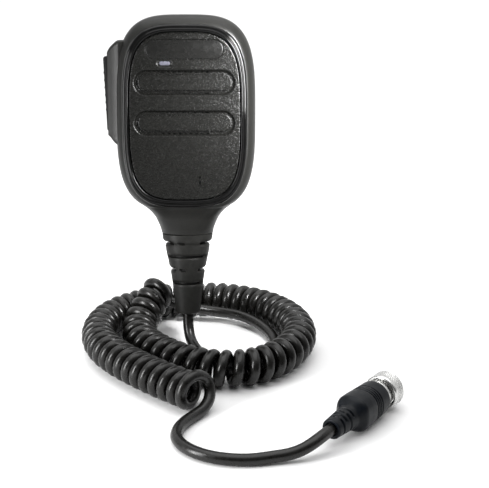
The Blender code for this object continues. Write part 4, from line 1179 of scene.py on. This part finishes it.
def keep_node(name, mat, edge=0.0, sharp=30.0):
    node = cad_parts[name]
    for slot in node.material_slots:
        slot.material = mat
    if edge:
        bevel = node.modifiers.new("edge", "BEVEL")
        bevel.width = edge * MM
        bevel.segments = 2
        bevel.limit_method = "ANGLE"
        bevel.angle_limit = math.radians(sharp)


def make_stage():
    floor_skin = Skin("table_top", (0.92, 0.92, 0.92), 0.6)
    floor_skin.mottle(2.0, 0.99, 1.0)
    bm = bmesh.new()
    bmesh.ops.create_grid(bm, x_segments=8, y_segments=8, size=4.0)
    mesh = bpy.data.meshes.new("table_top")
    bm.to_mesh(mesh)
    bm.free()
    mesh.materials.append(floor_skin.mat)
    floor = new_object("table_top", mesh)
    floor.location = metres((0.0, 0.0, TABLE_Z))


def softbox(name, place, aim, width, height, power, spread_angle=180.0):
    """An area light that lights and is reflected, but isn't itself in any view."""
    data = bpy.data.lights.new(name, "AREA")
    data.shape = "RECTANGLE"
    data.size = width * MM
    data.size_y = height * MM
    data.energy = power
    data.spread = math.radians(spread_angle)
    light = new_object(name, data)
    light.location = metres(place)
    way = metres(aim) - light.location
    light.rotation_euler = way.to_track_quat("-Z", "Y").to_euler()
    light.visible_camera = False


def make_room():
    """World light: bright above and behind, dark towards the front and at eye level."""
    world = bpy.data.worlds.new("studio")
    bpy.context.scene.world = world
    world.use_nodes = True
    tree = world.node_tree
    place = tree.nodes.new("ShaderNodeTexCoord")
    lift = tree.nodes.new("ShaderNodeVectorMath")
    lift.operation = "DOT_PRODUCT"
    lift.inputs[1].default_value = WORLD_BRIGHT_WAY
    tree.links.new(place.outputs["Generated"], lift.inputs[0])
    shade = tree.nodes.new("ShaderNodeMapRange")
    shade.inputs["From Min"].default_value = -1.0
    shade.inputs["From Max"].default_value = 1.0
    tree.links.new(lift.outputs["Value"], shade.inputs["Value"])
    ramp = tree.nodes.new("ShaderNodeValToRGB")
    tree.links.new(shade.outputs["Result"], ramp.inputs["Fac"])
    fill_ramp(ramp.color_ramp, WORLD_LEVELS)
    background = tree.nodes["Background"]
    background.inputs["Strength"].default_value = WORLD_STRENGTH
    tree.links.new(ramp.outputs["Color"], background.inputs["Color"])


def keep_cad_pieces():
    """Pieces that are right as they are in the CAD get their finish here."""
    steel = metal("drawn_steel", (0.50, 0.50, 0.51), 0.34)
    keep_node("speaker_frame", steel, 0.12)
    keep_node("speaker_magnet", steel, 0.3)
    keep_node("speaker_cone", fabric("pressed_paper", (0.05, 0.05, 0.048)), 0.05)
    keep_node("speaker_membrane", fabric("dust_cloth", (0.018, 0.018, 0.018)), 0.05)
    keep_node("mic_boot", moulded_rubber("soft_rubber", (0.03, 0.03, 0.03), 0.72), 0.15)
    keep_node("mic_capsule", metal("capsule_tin", (0.62, 0.62, 0.60), 0.28), 0.2)
    keep_node("circuit_board", board_mask(), 0.05)
    keep_node("board_header", satin_plastic("header_nylon", (0.78, 0.75, 0.66), 0.5), 0.25)
    keep_node("status_led", satin_plastic("light_chip", (0.72, 0.72, 0.66), 0.35), 0.1)
    zinc = metal("zinc_plating", (0.56, 0.56, 0.57), 0.33)
    for number in range(1, 5):
        keep_node(f"case_screw_{number}", zinc, 0.15)
    keep_node("seal_ring", moulded_rubber("silicone", (0.30, 0.07, 0.05), 0.55), 0.2)
    keep_node("ptt_membrane", moulded_rubber("membrane_rubber", (0.028, 0.028, 0.028), 0.7), 0.1)
    keep_node("ptt_switch", metal("switch_plating", (0.52, 0.52, 0.52), 0.3), 0.15)
    keep_node("inner_lead", cord_rubber("inner_lead_rubber"))
    keep_node("holder_magnet", metal("nickel", (0.62, 0.61, 0.60), 0.22), 0.3)
    keep_node("holder_adhesive", moulded_rubber("adhesive_foam", (0.09, 0.09, 0.09), 0.9), 0.2)
    gold = metal("contact_gold", (0.85, 0.62, 0.25), 0.22)
    for number in range(1, 6):
        keep_node(f"plug_contact_{number}", gold, 0.12)


def main():
    make_camera()
    cord, exit_point = make_cord(cord_rubber("cord_rubber"))
    plug = [make_overmould(moulded_rubber("plug_mould", (0.0030, 0.0042, 0.0062), 0.38, 0.16)),
            *make_plug_metal(metal("bright_nickel", (0.62, 0.62, 0.61), 0.26)),
            make_insert(satin_plastic("insert_plastic", (0.030, 0.030, 0.030), 0.5))]
    case_plastic = shell_plastic("shell_plastic")
    make_front_shell(case_plastic)
    make_rear_shell(case_plastic)
    make_rear_fittings(satin_plastic("plate_paint", (0.085, 0.085, 0.085), 0.45), printed_label())
    make_bezel(gloss_plastic())
    make_front_panel(panel_plastic())
    make_panel_fittings(satin_plastic("name_plate_satin", (0.004, 0.004, 0.0038), 0.26, 0.20),
                        satin_plastic("lens_plastic", (0.050, 0.050, 0.062), 0.45, 0.10))
    make_ptt(case_plastic, moulded_rubber("button_rubber", (0.0030, 0.0030, 0.0030), 0.55, 0.11))
    make_boot(moulded_rubber("boot_rubber", (0.0062, 0.0062, 0.0056), 0.46, 0.16))
    make_holder(satin_plastic("holder_plastic", (0.04, 0.04, 0.04), 0.5),
                moulded_rubber("holder_rubber", (0.11, 0.11, 0.11), 0.7))
    keep_cad_pieces()
    make_stage()
    make_room()
    softbox("top_light", (0.0, 300.0, 2400.0), (0.0, 300.0, 0.0), 3000.0, 3000.0, 52.0)
    softbox("key_light", (78.0, -125.0, 62.0), (28.0, -45.0, 18.0), 30.0, 90.0, 0.31, 70.0)
    softbox("side_light", (-330.0, -300.0, 40.0), (-30.0, -30.0, 10.0), 90.0, 300.0, 2.4)
    bpy.context.scene.view_settings.view_transform = "Standard"


main()
